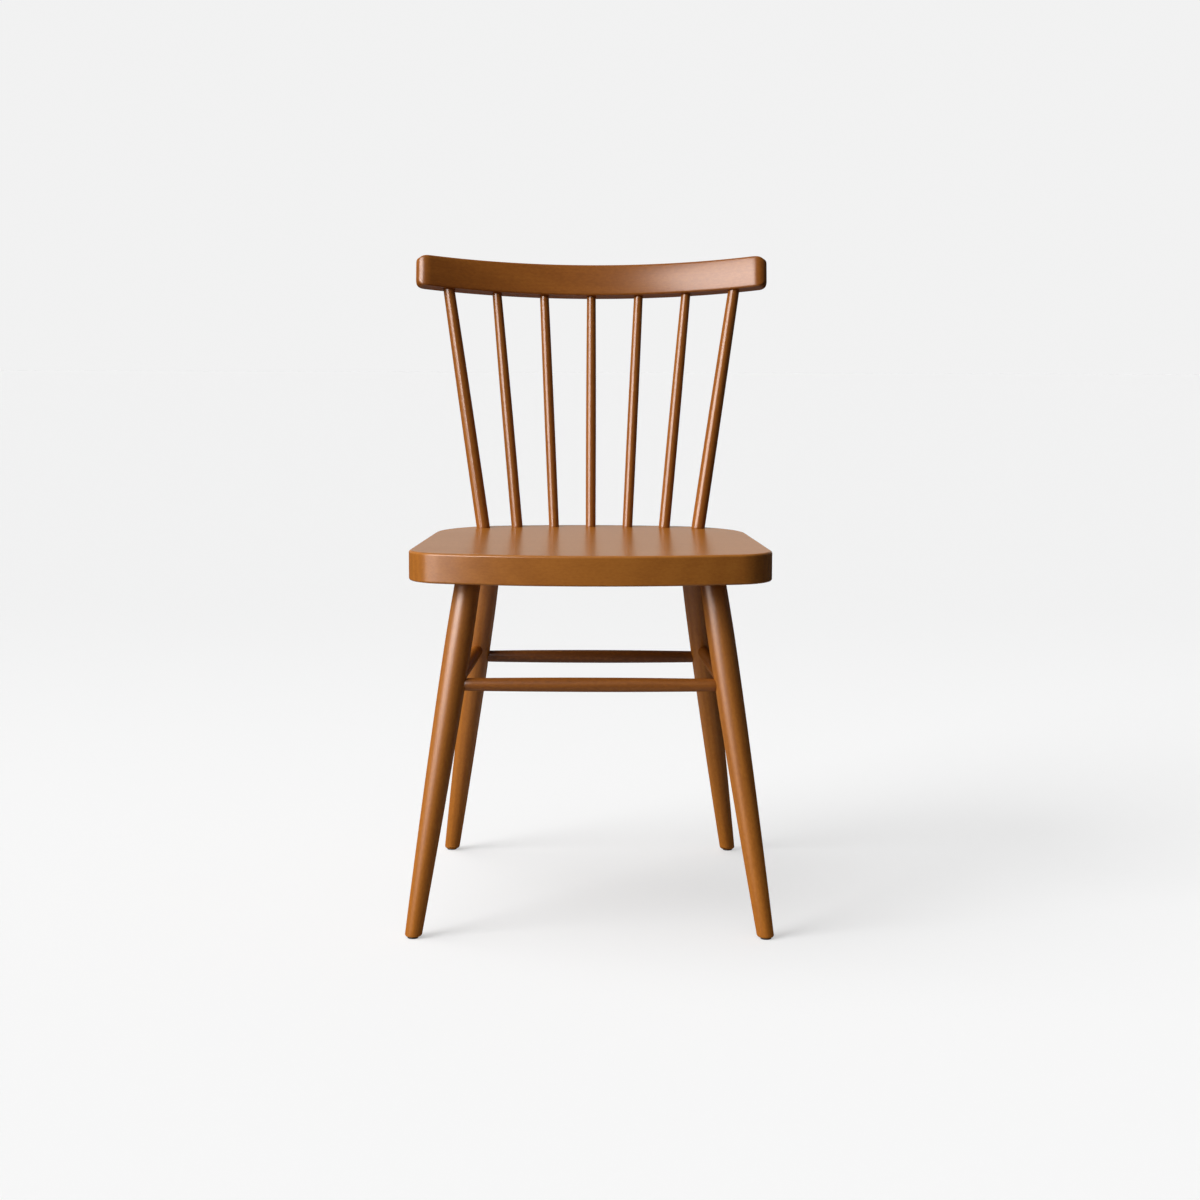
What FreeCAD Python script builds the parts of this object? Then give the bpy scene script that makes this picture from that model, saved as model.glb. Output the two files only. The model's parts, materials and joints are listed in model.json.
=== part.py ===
"""Spindle-back dining chair in wood, in millimetres.

+Z is up, the floor is Z = 0 and the sitter faces -Y. The origin lies on the floor under the middle
of the chair. Left and right are those of someone who stands in front of the chair and looks at it,
so left is -X.
"""
import FreeCAD, Part
import math
import os

import Sketcher

SIZES = [
    ("seat_height", 455, "floor to the top of the seat"),
    ("seat_thickness", 36, "slab of the seat"),
    ("seat_depth", 432, "front edge to back edge on the middle line"),
    ("seat_front_reach", 243.4, "origin to the front edge on the middle line"),
    ("seat_front_width", 441, "between the sides at the front corners, before rounding"),
    ("seat_back_width", 395, "between the sides at the back corners, before rounding"),
    ("seat_front_bow", 650, "radius of the bowed front edge"),
    ("seat_back_bow", 510, "radius of the bowed back edge"),
    ("seat_front_corner", 54, "plan radius of the front corners"),
    ("seat_back_corner", 112, "plan radius of the back corners"),
    ("seat_top_round", 3, "rounding of the top edge"),
    ("seat_bottom_round", 2.5, "rounding of the bottom edge"),
    ("back_lean", 14, "lean of the back from upright, degrees"),
    ("crest_bottom_height", 761.8, "floor to the underside of the crest rail on the middle line"),
    ("crest_height", 42.6, "height of the crest rail along its own lean"),
    ("crest_thickness", 23, "front face to back face of the crest rail"),
    ("crest_bend", 535, "radius of the bent crest rail at mid thickness"),
    ("crest_chord", 468, "straight distance between the rail's ends at mid thickness"),
    ("crest_end_round", 10.2, "plan rounding of the rail's ends"),
    ("crest_corner", 15, "rounding of the rail's corners seen from the front"),
    ("crest_corner_ease", 1, "how far the corner rounding starts outside the rail's end"),
    ("crest_edge_round", 3, "rounding of the rail's long edges"),
    ("spindle_inset", 28, "middle of the spindles to the seat's back edge"),
    ("spindle_base_pitch", 49.3, "sideways step between spindles at the seat"),
    ("spindle_top_pitch", 64, "sideways step between spindles at the crest rail"),
    ("post_base_offset", 143.3, "middle line to an outer post at the seat"),
    ("post_top_offset", 191.7, "middle line to an outer post at the crest rail"),
    ("spindle_belly", 13.5, "thickest diameter of the three inner spindles"),
    ("spindle_belly_rise", 110, "seat to the thickest place of the inner spindles"),
    ("spindle_base_taper", 0.3, "loss of diameter from there to the seat"),
    ("spindle_top_taper", 1.5, "loss of diameter from there to the crest rail"),
    ("side_spindle_belly", 14.8, "thickest diameter of the second spindle on each side"),
    ("side_spindle_belly_rise", 70, "seat to the thickest place of that spindle"),
    ("side_spindle_base_taper", 0.1, "loss of diameter from there to the seat"),
    ("side_spindle_top_taper", 2.4, "loss of diameter from there to the crest rail"),
    ("post_belly", 17.8, "thickest diameter of an outer post"),
    ("post_belly_rise", 20, "seat to the thickest place of an outer post"),
    ("post_base_taper", 0.1, "loss of diameter from there to the seat"),
    ("post_top_taper", 2.7, "loss of diameter from there to the crest rail"),
    ("spindle_seat_tenon", 22, "length of a spindle inside the seat"),
    ("spindle_crest_tenon", 22, "length of a spindle inside the crest rail"),
    ("front_leg_top_spread", 293.6, "between the front legs at the seat"),
    ("front_leg_inset", 78, "front edge back to the front legs at the seat"),
    ("front_foot_spread", 419, "between the front feet on the floor"),
    ("front_foot_reach", 5, "front edge forward to the front feet on the floor"),
    ("rear_leg_top_spread", 266, "between the rear legs at the seat"),
    ("rear_leg_inset", 85, "back edge forward to the rear legs at the seat"),
    ("rear_foot_spread", 383.5, "between the rear feet on the floor"),
    ("rear_foot_reach", 23, "back edge back to the rear feet on the floor"),
    ("leg_belly", 32.6, "thickest diameter of a leg"),
    ("leg_belly_drop", 74, "seat down to the thickest place of a leg"),
    ("leg_top_taper", 2.4, "loss of diameter from there to just past the seat's underside"),
    ("leg_foot_taper", 13.3, "loss of diameter from there to just below the floor"),
    ("leg_fall_power", 1.6, "how sharply a leg thins away from its thickest place"),
    ("leg_tenon", 24, "diameter of a leg's tenon"),
    ("leg_tenon_length", 24, "length of a leg's tenon"),
    ("foot_flat", 13.6, "diameter left flat inside the foot's chamfer"),
    ("front_stretcher_height", 295, "floor to the middle of the front stretcher"),
    ("rear_stretcher_height", 281.7, "floor to the middle of the rear stretcher"),
    ("side_stretcher_height", 291, "floor to the middle of the side stretchers"),
    ("stretcher_belly", 17.3, "thickest diameter of a stretcher, at mid length"),
    ("stretcher_end_taper", 2.2, "loss of diameter from there to the leg"),
    ("stretcher_tip", 10, "diameter at the tip of a stretcher's tapered tenon"),
    ("stretcher_setback", 6, "middle of the leg to the tip of the tenon"),
    ("glide", 13, "diameter of the disc under a foot"),
    ("glide_thickness", 2, "thickness of that disc"),
    ("glide_chamfer", 0.5, "chamfer on the disc's lower edge"),
    ("nail", 2.4, "diameter of the nail that holds the disc"),
    ("nail_seat", 1.2, "length of the nail inside the disc"),
    ("nail_length", 16, "whole length of the nail"),
    ("nail_point", 4, "length of the nail's point"),
    ("peg", 6, "diameter of the pegs that lock the crest rail"),
    ("peg_rise", 11, "underside of the crest rail to the middle of a peg"),
    ("peg_past_middle", 4, "how far a peg goes past the middle of the post"),
    ("glue_gap", 0.1, "radial room of a tenon in its mortise"),
    ("tenon_end_gap", 0.6, "room between a tenon's end and the bottom of its mortise"),
    ("cut_allowance", 12, "stock that a cut or a blank runs past a surface"),
    ("round_share", 0.45, "largest share of a thickness that a rounding takes"),
]

SIDES = {"left": -1, "right": 1}
LEG_RINGS_BELOW = 5
LEG_RINGS_ABOVE = 2
LEVEL_LIMIT = 1e-4
SMOOTH_DEGREES = 1

doc = FreeCAD.newDocument("spindle_back_chair")
sizes = doc.addObject("Spreadsheet::Sheet", "Sizes")
layout = doc.addObject("Spreadsheet::Sheet", "Layout")
nodes = {}


def fill_sizes():
    """Writes the driving dimensions, one to a row, with a note of what each measures."""
    for row, (alias, value, note) in enumerate(SIZES, start=1):
        sizes.set(f"A{row}", note)
        sizes.set(f"B{row}", str(value))
        sizes.setAlias(f"B{row}", alias)
    doc.recompute()


def derive(**formulas):
    """Adds places that follow from the driving dimensions, each a named cell with a formula."""
    first = len(layout.getUsedCells()) + 1
    for row, (alias, formula) in enumerate(formulas.items(), start=first):
        layout.set(f"A{row}", "=" + formula)
        layout.setAlias(f"A{row}", alias)
    doc.recompute()


def number(formula):
    """The present value of a formula, as a plain number."""
    value = sizes.evalExpression(formula)
    return float(getattr(value, "Value", value))


def bind(item, **formulas):
    """Ties properties of an object to formulas on the sheets."""
    for name, formula in formulas.items():
        item.setExpression(name, formula)


def line_between(name, start, end):
    """Names an axis in space by its two end points, each given as three formulas."""
    cells = {}
    for letter, low, high in zip("xyz", start, end):
        cells[f"{name}_start_{letter}"] = low
        cells[f"{name}_run_{letter}"] = f"({high}) - ({low})"
    derive(**cells)
    runs = [f"{name}_run_{letter}" for letter in "xyz"]
    derive(**{f"{name}_span": f"sqrt({runs[0]} ^ 2 + {runs[1]} ^ 2 + {runs[2]} ^ 2)"})


def place_on_line(item, name, offset, backwards=False):
    """Sets an object with its local Z along a named axis, its origin at an offset from one end."""
    span = f"Layout.{name}_span"
    way = -1 if backwards else 1
    along = f"({span} - ({offset}))" if backwards else f"({offset})"
    point = [f"Layout.{name}_start_{a} + Layout.{name}_run_{a} * {along} / {span}" for a in "xyz"]
    turn = f"vector({-way} * Layout.{name}_run_y; {way} * Layout.{name}_run_x; 0)"
    angle = f"acos({way} * Layout.{name}_run_z / {span})"
    bind(item, Placement=f"placement(vector({'; '.join(point)}); rotation({turn}; {angle}))")


def cylinder_on_line(name, line, offset, height, diameter, backwards=False):
    """A round bar, or the cutter for a round hole, along a named axis."""
    bar = doc.addObject("Part::Cylinder", name)
    bind(bar, Radius=f"({diameter}) / 2", Height=height)
    place_on_line(bar, line, offset, backwards)
    return bar


def upright_cylinder(name, x, y, z, height, diameter):
    """A vertical round bar, or the cutter for a vertical hole."""
    bar = doc.addObject("Part::Cylinder", name)
    bind(bar, Radius=f"({diameter}) / 2", Height=height)
    bind(bar, Placement=f"placement(vector({x}; {y}; {z}); rotation(vector(0; 0; 1); 0))")
    return bar


def cut(name, base, tools):
    """The base with all the tools taken away, as one object."""
    if len(tools) > 1:
        joined = doc.addObject("Part::MultiFuse", name + "_cutters")
        joined.Shapes = tools
    else:
        joined = tools[0]
    result = doc.addObject("Part::Cut", name + "_cut")
    result.Base = base
    result.Tool = joined
    return result


def group(name, members):
    """Several separate solids that share one node."""
    result = doc.addObject("Part::Compound", name + "_group")
    result.Links = members
    return result


def keep(name, item):
    """Names an object as a finished sub-part."""
    item.Label = name
    nodes[name] = item


def origin_plane(body, role):
    """One of a body's own three planes."""
    return next(plane for plane in body.Origin.OriginFeatures if plane.Role == role)


def new_sketch(body, name, role):
    """A sketch on one of the body's own planes."""
    sketch = body.newObject("Sketcher::SketchObject", name)
    sketch.AttachmentSupport = (origin_plane(body, role), [""])
    sketch.MapMode = "FlatFace"
    return sketch


def join_ends(sketch, pairs):
    """Makes the named ends of sketch curves meet: each pair is (curve, end, curve, end)."""
    for pair in pairs:
        sketch.addConstraint(Sketcher.Constraint("Coincident", *pair))


def dimension(sketch, kind, name, formula, *places):
    """A named dimension of a sketch, tied to a formula."""
    index = sketch.addConstraint(Sketcher.Constraint(kind, *places, number(formula)))
    sketch.renameConstraint(index, name)
    sketch.setExpression("Constraints." + name, formula)


def point_at(sketch, name, x, y, curve, end):
    """Holds one end of a curve at a place measured from the sketch's origin."""
    if x == "0":
        sketch.addConstraint(Sketcher.Constraint("PointOnObject", curve, end, -2))
    else:
        dimension(sketch, "DistanceX", name + "_across", x, -1, 1, curve, end)
    if y == "0":
        sketch.addConstraint(Sketcher.Constraint("PointOnObject", curve, end, -1))
    else:
        dimension(sketch, "DistanceY", name + "_along", y, -1, 1, curve, end)


def circle_sketch(body, name, diameter):
    """A sketch of one circle about the body's own Z."""
    sketch = new_sketch(body, name, "XY_Plane")
    sketch.addGeometry(Part.Circle(FreeCAD.Vector(), FreeCAD.Vector(0, 0, 1), number(diameter) / 2))
    join_ends(sketch, [(0, 3, -1, 1)])
    dimension(sketch, "Diameter", "across", diameter, 0)
    return sketch


def flat_arc(outer, inner, belly_end):
    """An arc in the sketch that is upright at the belly and falls away to its other end."""
    fall = outer.x - inner.x
    rise = inner.y - outer.y
    radius = (fall ** 2 + rise ** 2) / (2 * fall)
    centre = FreeCAD.Vector(outer.x - radius, outer.y, 0)
    swing = math.atan2(rise, inner.x - centre.x)
    circle = Part.Circle(centre, FreeCAD.Vector(0, 0, 1), radius)
    return Part.ArcOfCircle(circle, 0, swing) if belly_end == "start" else Part.ArcOfCircle(circle, swing, 0)


def turned_body(name, line, offset, stations):
    """A lathe-turned stick along a named axis.

    The five stations run from the low end to the high end as (height, diameter) formulas, measured
    from the stick's own low end: tenon end, entry, belly, entry, tenon end. Two arcs that are tangent
    at the belly make the swell, and a straight or tapered tenon follows at either end.
    """
    body = doc.addObject("PartDesign::Body", name + "_body")
    sketch = new_sketch(body, name + "_profile", "XZ_Plane")
    middle = len(stations) // 2
    radii = [f"({diameter}) / 2" for _, diameter in stations]
    heights = [height for height, _ in stations]
    points = [FreeCAD.Vector(number(r), number(h), 0) for r, h in zip(radii, heights)]
    low_end, low_entry, belly, high_entry, high_end = points
    foot = FreeCAD.Vector(0, low_end.y, 0)
    head = FreeCAD.Vector(0, high_end.y, 0)
    curves = [
        Part.LineSegment(foot, low_end),
        Part.LineSegment(low_end, low_entry),
        flat_arc(belly, low_entry, "end"),
        flat_arc(belly, high_entry, "start"),
        Part.LineSegment(high_entry, high_end),
        Part.LineSegment(high_end, head),
        Part.LineSegment(head, foot),
    ]
    sketch.addGeometry(curves, False)

    last = len(curves) - 1
    join_ends(sketch, [(index, 2, index + 1, 1) for index in range(last)] + [(last, 2, 0, 1)])
    sketch.addConstraint(Sketcher.Constraint("Horizontal", 0))
    sketch.addConstraint(Sketcher.Constraint("Horizontal", last - 1))
    point_at(sketch, "foot", "0", heights[0], 0, 1)
    sketch.addConstraint(Sketcher.Constraint("PointOnObject", last, 1, -2))
    for index, (radius, height) in enumerate(zip(radii, heights)):
        if index == 0:
            dimension(sketch, "DistanceX", "station_0_across", radius, -1, 1, 0, 2)
        else:
            point_at(sketch, f"station_{index}", radius, height, index, 2)
    for arc, label in ((middle, "lower"), (middle + 1, "upper")):
        dimension(sketch, "DistanceY", label + "_centre_along", heights[middle], -1, 1, arc, 3)

    turning = body.newObject("PartDesign::Revolution", name + "_turning")
    turning.Profile = sketch
    turning.ReferenceAxis = (sketch, ["V_Axis"])
    turning.Angle = 360
    place_on_line(body, line, offset)
    return body


def lay_out_seat():
    """Heights and edges that the other pieces take from the seat."""
    derive(
        seat_underside="Sizes.seat_height - Sizes.seat_thickness",
        seat_front_edge="-Sizes.seat_front_reach",
        seat_back_edge="Sizes.seat_depth - Sizes.seat_front_reach",
        seat_front_centre="Sizes.seat_front_bow - Sizes.seat_front_reach",
        seat_back_centre="Sizes.seat_depth - Sizes.seat_front_reach - Sizes.seat_back_bow",
        spindle_row="Sizes.seat_back_bow - Sizes.spindle_inset",
    )


def lay_out_back():
    """The crest rail's place and the axis of each stick of the back."""
    rise = "(Sizes.crest_bottom_height - Sizes.seat_height)"
    derive(
        crest_y=f"seat_back_edge - Sizes.spindle_inset + {rise} * tan(Sizes.back_lean)",
        crest_half_angle="asin(Sizes.crest_chord / 2 / Sizes.crest_bend)",
        crest_inner="Sizes.crest_bend - Sizes.crest_thickness / 2",
        crest_outer="Sizes.crest_bend + Sizes.crest_thickness / 2",
        crest_end_radius="min(Sizes.crest_end_round; Sizes.round_share * Sizes.crest_thickness)",
        crest_reach="(crest_outer - crest_end_radius) * sin(crest_half_angle)"
                    " + crest_end_radius * (1 - cos(crest_half_angle)) + Sizes.crest_corner_ease",
    )
    for name, base_x, top_x, _ in sticks():
        setback = f"(Sizes.crest_bend - sqrt(Sizes.crest_bend ^ 2 - ({top_x}) ^ 2))"
        base = (base_x, f"seat_back_centre + sqrt(spindle_row ^ 2 - ({base_x}) ^ 2)", "Sizes.seat_height")
        top = (
            top_x,
            f"crest_y - {setback} * cos(Sizes.back_lean)",
            f"Sizes.crest_bottom_height + {setback} * sin(Sizes.back_lean)",
        )
        line_between(name, base, top)


def lay_out_legs():
    """The axis of each leg, from the floor to the underside of the seat."""
    for end, floor_y, top_y in (
        ("front", "seat_front_edge - Sizes.front_foot_reach", "seat_front_edge + Sizes.front_leg_inset"),
        ("rear", "seat_back_edge + Sizes.rear_foot_reach", "seat_back_edge - Sizes.rear_leg_inset"),
    ):
        for side, way in SIDES.items():
            foot = (f"{way} * Sizes.{end}_foot_spread / 2", floor_y, "0")
            top = (f"{way} * Sizes.{end}_leg_top_spread / 2", top_y, "seat_underside")
            line_between(f"leg_{end}_{side}", foot, top)


def lay_out_stretchers():
    """The axis of each stretcher, from the middle of one leg to the middle of the other."""
    for name, first, second in stretchers():
        height = stretcher_height(name)
        line_between(name, on_leg(first, height), on_leg(second, height))


def sticks():
    """Name, place at the seat, place at the crest rail and kind of each stick, from left to right."""
    rows = [("back_post_left", "-Sizes.post_base_offset", "-Sizes.post_top_offset", "post")]
    names = ("spindle_left_2", "spindle_left_1", "spindle_centre", "spindle_right_1", "spindle_right_2")
    middle = len(names) // 2
    for index, name in enumerate(names):
        step = index - middle
        kind = "side_spindle" if abs(step) == middle else "spindle"
        rows.append((name, f"{step} * Sizes.spindle_base_pitch", f"{step} * Sizes.spindle_top_pitch", kind))
    rows.append(("back_post_right", "Sizes.post_base_offset", "Sizes.post_top_offset", "post"))
    return rows


def legs():
    """Names of the four legs."""
    return [f"leg_{end}_{side}" for end in ("front", "rear") for side in SIDES]


def stretchers():
    """Each stretcher with the two legs that it ties."""
    return [
        ("stretcher_front", "leg_front_left", "leg_front_right"),
        ("stretcher_rear", "leg_rear_left", "leg_rear_right"),
        ("stretcher_left", "leg_front_left", "leg_rear_left"),
        ("stretcher_right", "leg_front_right", "leg_rear_right"),
    ]


def stretcher_height(name):
    """The cell that holds a stretcher's height."""
    place = name.split("_")[1]
    return f"Sizes.{place}_stretcher_height" if place in ("front", "rear") else "Sizes.side_stretcher_height"


def on_leg(leg, height):
    """The point on a leg's axis at a height above the floor, as three formulas."""
    share = f"({height}) / seat_underside"
    return [f"{leg}_start_{letter} + {leg}_run_{letter} * {share}" for letter in "xyz"]


def stick_diameter(kind, place):
    """A stick's diameter where it enters the seat or the crest rail."""
    return f"Sizes.{kind}_belly - Sizes.{kind}_{place}_taper"


def make_seat():
    """The seat slab with its mortises for the legs and for the sticks of the back."""
    body = doc.addObject("PartDesign::Body", "seat_body")
    outline = new_sketch(body, "seat_outline", "XY_Plane")
    front_half = number("Sizes.seat_front_width / 2")
    back_half = number("Sizes.seat_back_width / 2")
    front_bow = number("Sizes.seat_front_bow")
    back_bow = number("Sizes.seat_back_bow")
    front_swing = math.asin(front_half / front_bow)
    back_swing = math.asin(back_half / back_bow)
    front_centre = FreeCAD.Vector(0, number("Layout.seat_front_centre"), 0)
    back_centre = FreeCAD.Vector(0, number("Layout.seat_back_centre"), 0)
    up = FreeCAD.Vector(0, 0, 1)
    down_turn = -math.pi / 2
    up_turn = math.pi / 2
    front = Part.ArcOfCircle(
        Part.Circle(front_centre, up, front_bow), down_turn - front_swing, down_turn + front_swing
    )
    back = Part.ArcOfCircle(
        Part.Circle(back_centre, up, back_bow), up_turn - back_swing, up_turn + back_swing
    )
    right = Part.LineSegment(front.EndPoint, back.StartPoint)
    left = Part.LineSegment(back.EndPoint, front.StartPoint)
    outline.addGeometry([front, right, back, left], False)
    join_ends(outline, [(0, 2, 1, 1), (1, 2, 2, 1), (2, 2, 3, 1), (3, 2, 0, 1)])
    point_at(outline, "front_centre", "0", "Layout.seat_front_centre", 0, 3)
    point_at(outline, "back_centre", "0", "Layout.seat_back_centre", 2, 3)
    dimension(outline, "Radius", "front_bow", "Sizes.seat_front_bow", 0)
    dimension(outline, "Radius", "back_bow", "Sizes.seat_back_bow", 2)
    dimension(outline, "DistanceX", "front_half", "Sizes.seat_front_width / 2", -1, 1, 0, 2)
    dimension(outline, "DistanceX", "back_half", "Sizes.seat_back_width / 2", -1, 1, 2, 1)
    dimension(outline, "DistanceX", "front_width", "Sizes.seat_front_width", 0, 1, 0, 2)
    dimension(outline, "DistanceX", "back_width", "Sizes.seat_back_width", 2, 2, 2, 1)

    slab = body.newObject("PartDesign::Pad", "seat_slab")
    slab.Profile = outline
    bind(slab, Length="Sizes.seat_thickness")
    doc.recompute()
    front_corners = [name for name, place in upright_edges(slab.Shape) if place.y < 0]
    round_edges(body, "seat_front_corners", slab, front_corners, "Sizes.seat_front_corner")
    base = body.Tip
    back_corners = [name for name, _ in upright_edges(base.Shape) if is_sharp(base.Shape, name)]
    round_edges(body, "seat_back_corners", base, back_corners, "Sizes.seat_back_corner")
    top_edge = level_edges(body.Tip.Shape, number("Sizes.seat_thickness"))
    round_edges(body, "seat_top_edge", body.Tip, top_edge, "Sizes.seat_top_round")
    bottom_edge = level_edges(body.Tip.Shape, 0)
    round_edges(body, "seat_bottom_edge", body.Tip, bottom_edge, "Sizes.seat_bottom_round")
    bind(body, Placement="placement(vector(0; 0; Layout.seat_underside); rotation(vector(0; 0; 1); 0))")

    mortises = []
    for leg in legs():
        mortises.append(cylinder_on_line(
            f"{leg}_mortise", leg, f"Layout.{leg}_span - Sizes.cut_allowance",
            "Sizes.cut_allowance + Sizes.leg_tenon_length + Sizes.tenon_end_gap",
            "Sizes.leg_tenon + 2 * Sizes.glue_gap",
        ))
    for name, _, _, kind in sticks():
        depth = "Sizes.spindle_seat_tenon + Sizes.tenon_end_gap"
        mortises.append(cylinder_on_line(
            f"{name}_seat_mortise", name, f"-({depth})", f"{depth} + Sizes.cut_allowance",
            f"{stick_diameter(kind, 'base')} + 2 * Sizes.glue_gap",
        ))
    keep("seat", cut("seat", body, mortises))


def upright_edges(shape):
    """Name and middle of each straight edge that runs along the local Z."""
    found = []
    for index, edge in enumerate(shape.Edges, start=1):
        low, high = edge.Vertexes[0].Point, edge.Vertexes[-1].Point
        across = math.hypot(high.x - low.x, high.y - low.y)
        if across < Part.Precision.confusion() and abs(high.z - low.z) > Part.Precision.confusion():
            found.append((f"Edge{index}", (low + high) / 2))
    return found


def is_sharp(shape, name):
    """Whether the two faces at an edge meet at an angle, and not smoothly."""
    edge = shape.getElement(name)
    middle = edge.valueAt((edge.FirstParameter + edge.LastParameter) / 2)
    normals = []
    for face in shape.ancestorsOfType(edge, Part.Face):
        u, v = face.Surface.parameter(middle)
        normals.append(face.normalAt(u, v))
    return normals[0].getAngle(normals[1]) > math.radians(SMOOTH_DEGREES)


def level_edges(shape, height):
    """Names of the edges that lie flat at one height."""
    found = []
    for index, edge in enumerate(shape.Edges, start=1):
        box = edge.BoundBox
        if max(abs(box.ZMin - height), abs(box.ZMax - height)) < LEVEL_LIMIT:
            found.append(f"Edge{index}")
    return found


def round_edges(body, name, base, edges, radius):
    """A fillet on the named edges of a feature."""
    rounding = body.newObject("PartDesign::Fillet", name)
    rounding.Base = (base, edges)
    bind(rounding, Radius=radius)
    doc.recompute()
    body.Tip = rounding


def make_crest():
    """The bent crest rail, leaning back with the spindles, with its mortises and peg holes."""
    body = doc.addObject("PartDesign::Body", "crest_body")
    plan = new_sketch(body, "crest_plan", "XY_Plane")
    up = FreeCAD.Vector(0, 0, 1)
    centre = FreeCAD.Vector(0, -number("Sizes.crest_bend"), 0)
    swing = math.radians(number("Layout.crest_half_angle"))
    up_turn = math.pi / 2
    arcs = [
        Part.ArcOfCircle(Part.Circle(centre, up, number(radius)), up_turn - swing, up_turn + swing)
        for radius in ("Layout.crest_inner", "Layout.crest_outer")
    ]
    right = Part.LineSegment(arcs[0].StartPoint, arcs[1].StartPoint)
    left = Part.LineSegment(arcs[1].EndPoint, arcs[0].EndPoint)
    plan.addGeometry(arcs + [right, left], False)
    join_ends(plan, [(0, 1, 2, 1), (2, 2, 1, 1), (1, 2, 3, 1), (3, 2, 0, 2), (0, 3, 1, 3)])
    point_at(plan, "bend_centre", "0", "-Sizes.crest_bend", 0, 3)
    dimension(plan, "Radius", "front_face", "Layout.crest_inner", 0)
    dimension(plan, "Radius", "back_face", "Layout.crest_outer", 1)
    end_x = "sin(Layout.crest_half_angle)"
    for label, radius, arc in (("front", "Layout.crest_inner", 0), ("back", "Layout.crest_outer", 1)):
        dimension(plan, "DistanceX", label + "_right", f"{radius} * {end_x}", -1, 1, arc, 1)
        dimension(plan, "DistanceX", label + "_left", f"{radius} * {end_x}", arc, 2, -1, 1)
    rail = body.newObject("PartDesign::Pad", "crest_rail_blank")
    rail.Profile = plan
    bind(rail, Length="Sizes.crest_height")
    doc.recompute()
    ends = [name for name, _ in upright_edges(rail.Shape)]
    round_edges(body, "crest_ends", rail, ends, "Layout.crest_end_radius")
    cut_crest_corners(body)
    loops = crest_edges(body.Tip.Shape)
    round_edges(body, "crest_edges", body.Tip, loops, "Sizes.crest_edge_round")
    bind(body, Placement=(
        "placement(vector(0; Layout.crest_y; Sizes.crest_bottom_height);"
        " rotation(vector(1; 0; 0); -Sizes.back_lean))"
    ))

    openings = []
    for name, _, _, kind in sticks():
        openings.append(cylinder_on_line(
            f"{name}_crest_mortise", name, f"Layout.{name}_span - Sizes.cut_allowance",
            "Sizes.cut_allowance + Sizes.spindle_crest_tenon + Sizes.tenon_end_gap",
            f"{stick_diameter(kind, 'top')} + 2 * Sizes.glue_gap",
        ))
    openings += [peg_bar(side, "crest_hole", "2 * Sizes.glue_gap") for side in SIDES]
    keep("crest_rail", cut("crest", body, openings))


def cut_crest_corners(body):
    """Rounds the rail's four corners as they are seen from the front."""
    corners = new_sketch(body, "crest_corners", "XZ_Plane")
    reach = number("Layout.crest_reach")
    top = number("Sizes.crest_height")
    radius = number("Sizes.crest_corner")
    up = FreeCAD.Vector(0, 0, 1)
    quarter = math.pi / 2
    for index, (way, level, turn) in enumerate(((1, top, 0), (-1, top, 1), (-1, 0, 2), (1, 0, 3))):
        inward = -1 if level else 1
        middle = FreeCAD.Vector(way * (reach - radius), level + inward * radius, 0)
        tip = FreeCAD.Vector(way * reach, level, 0)
        arc = Part.ArcOfCircle(Part.Circle(middle, up, radius), turn * quarter, (turn + 1) * quarter)
        first = 3 * index
        corners.addGeometry([
            arc, Part.LineSegment(arc.EndPoint, tip), Part.LineSegment(tip, arc.StartPoint)
        ], False)
        join_ends(corners, [(first + 1, 2, first + 2, 1)])
        level_side, steep_side = (first + 1, first + 2) if turn % 2 == 0 else (first + 2, first + 1)
        corners.addConstraint(Sketcher.Constraint("Horizontal", level_side))
        corners.addConstraint(Sketcher.Constraint("Vertical", steep_side))
        corners.addConstraint(Sketcher.Constraint("Tangent", first, 2, first + 1, 1))
        corners.addConstraint(Sketcher.Constraint("Tangent", first + 2, 2, first, 1))
        dimension(corners, "Radius", f"corner_{index}", "Sizes.crest_corner", first)
        ends = (-1, 1, first + 1, 2) if way > 0 else (first + 1, 2, -1, 1)
        dimension(corners, "DistanceX", f"corner_{index}_reach", "Layout.crest_reach", *ends)
        if level:
            dimension(corners, "DistanceY", f"corner_{index}_top", "Sizes.crest_height", -1, 1, first + 1, 2)
        else:
            corners.addConstraint(Sketcher.Constraint("PointOnObject", first + 1, 2, -1))
    before = body.Tip.Shape.Volume
    pocket = body.newObject("PartDesign::Pocket", "crest_corner_cut")
    pocket.Profile = corners
    pocket.Type = "ThroughAll"
    pocket.SideType = "Symmetric"
    doc.recompute()
    body.Tip = pocket
    if pocket.Shape.Volume >= before:
        raise RuntimeError("the corners of the crest rail were not cut")


def crest_edges(shape):
    """The edges round the top and the underside of the rail, where its faces meet at an angle."""
    return [
        f"Edge{index}" for index in range(1, len(shape.Edges) + 1) if is_sharp(shape, f"Edge{index}")
    ]


def make_sticks():
    """The outer posts and the spindles, each one turned with a tenon at both ends."""
    for name, _, _, kind in sticks():
        base = stick_diameter(kind, "base")
        top = stick_diameter(kind, "top")
        entry = "Sizes.spindle_seat_tenon"
        leave = f"({entry} + Layout.{name}_span)"
        stations = [
            ("0", base),
            (entry, base),
            (f"{entry} + Sizes.{kind}_belly_rise", f"Sizes.{kind}_belly"),
            (leave, top),
            (f"{leave} + Sizes.spindle_crest_tenon", top),
        ]
        stick = turned_body(name, name, f"-{entry}", stations)
        if kind == "post":
            side = name.split("_")[-1]
            stick = cut(name, stick, [peg_bar(side, "post_hole", "2 * Sizes.glue_gap")])
        keep(name, stick)


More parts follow.
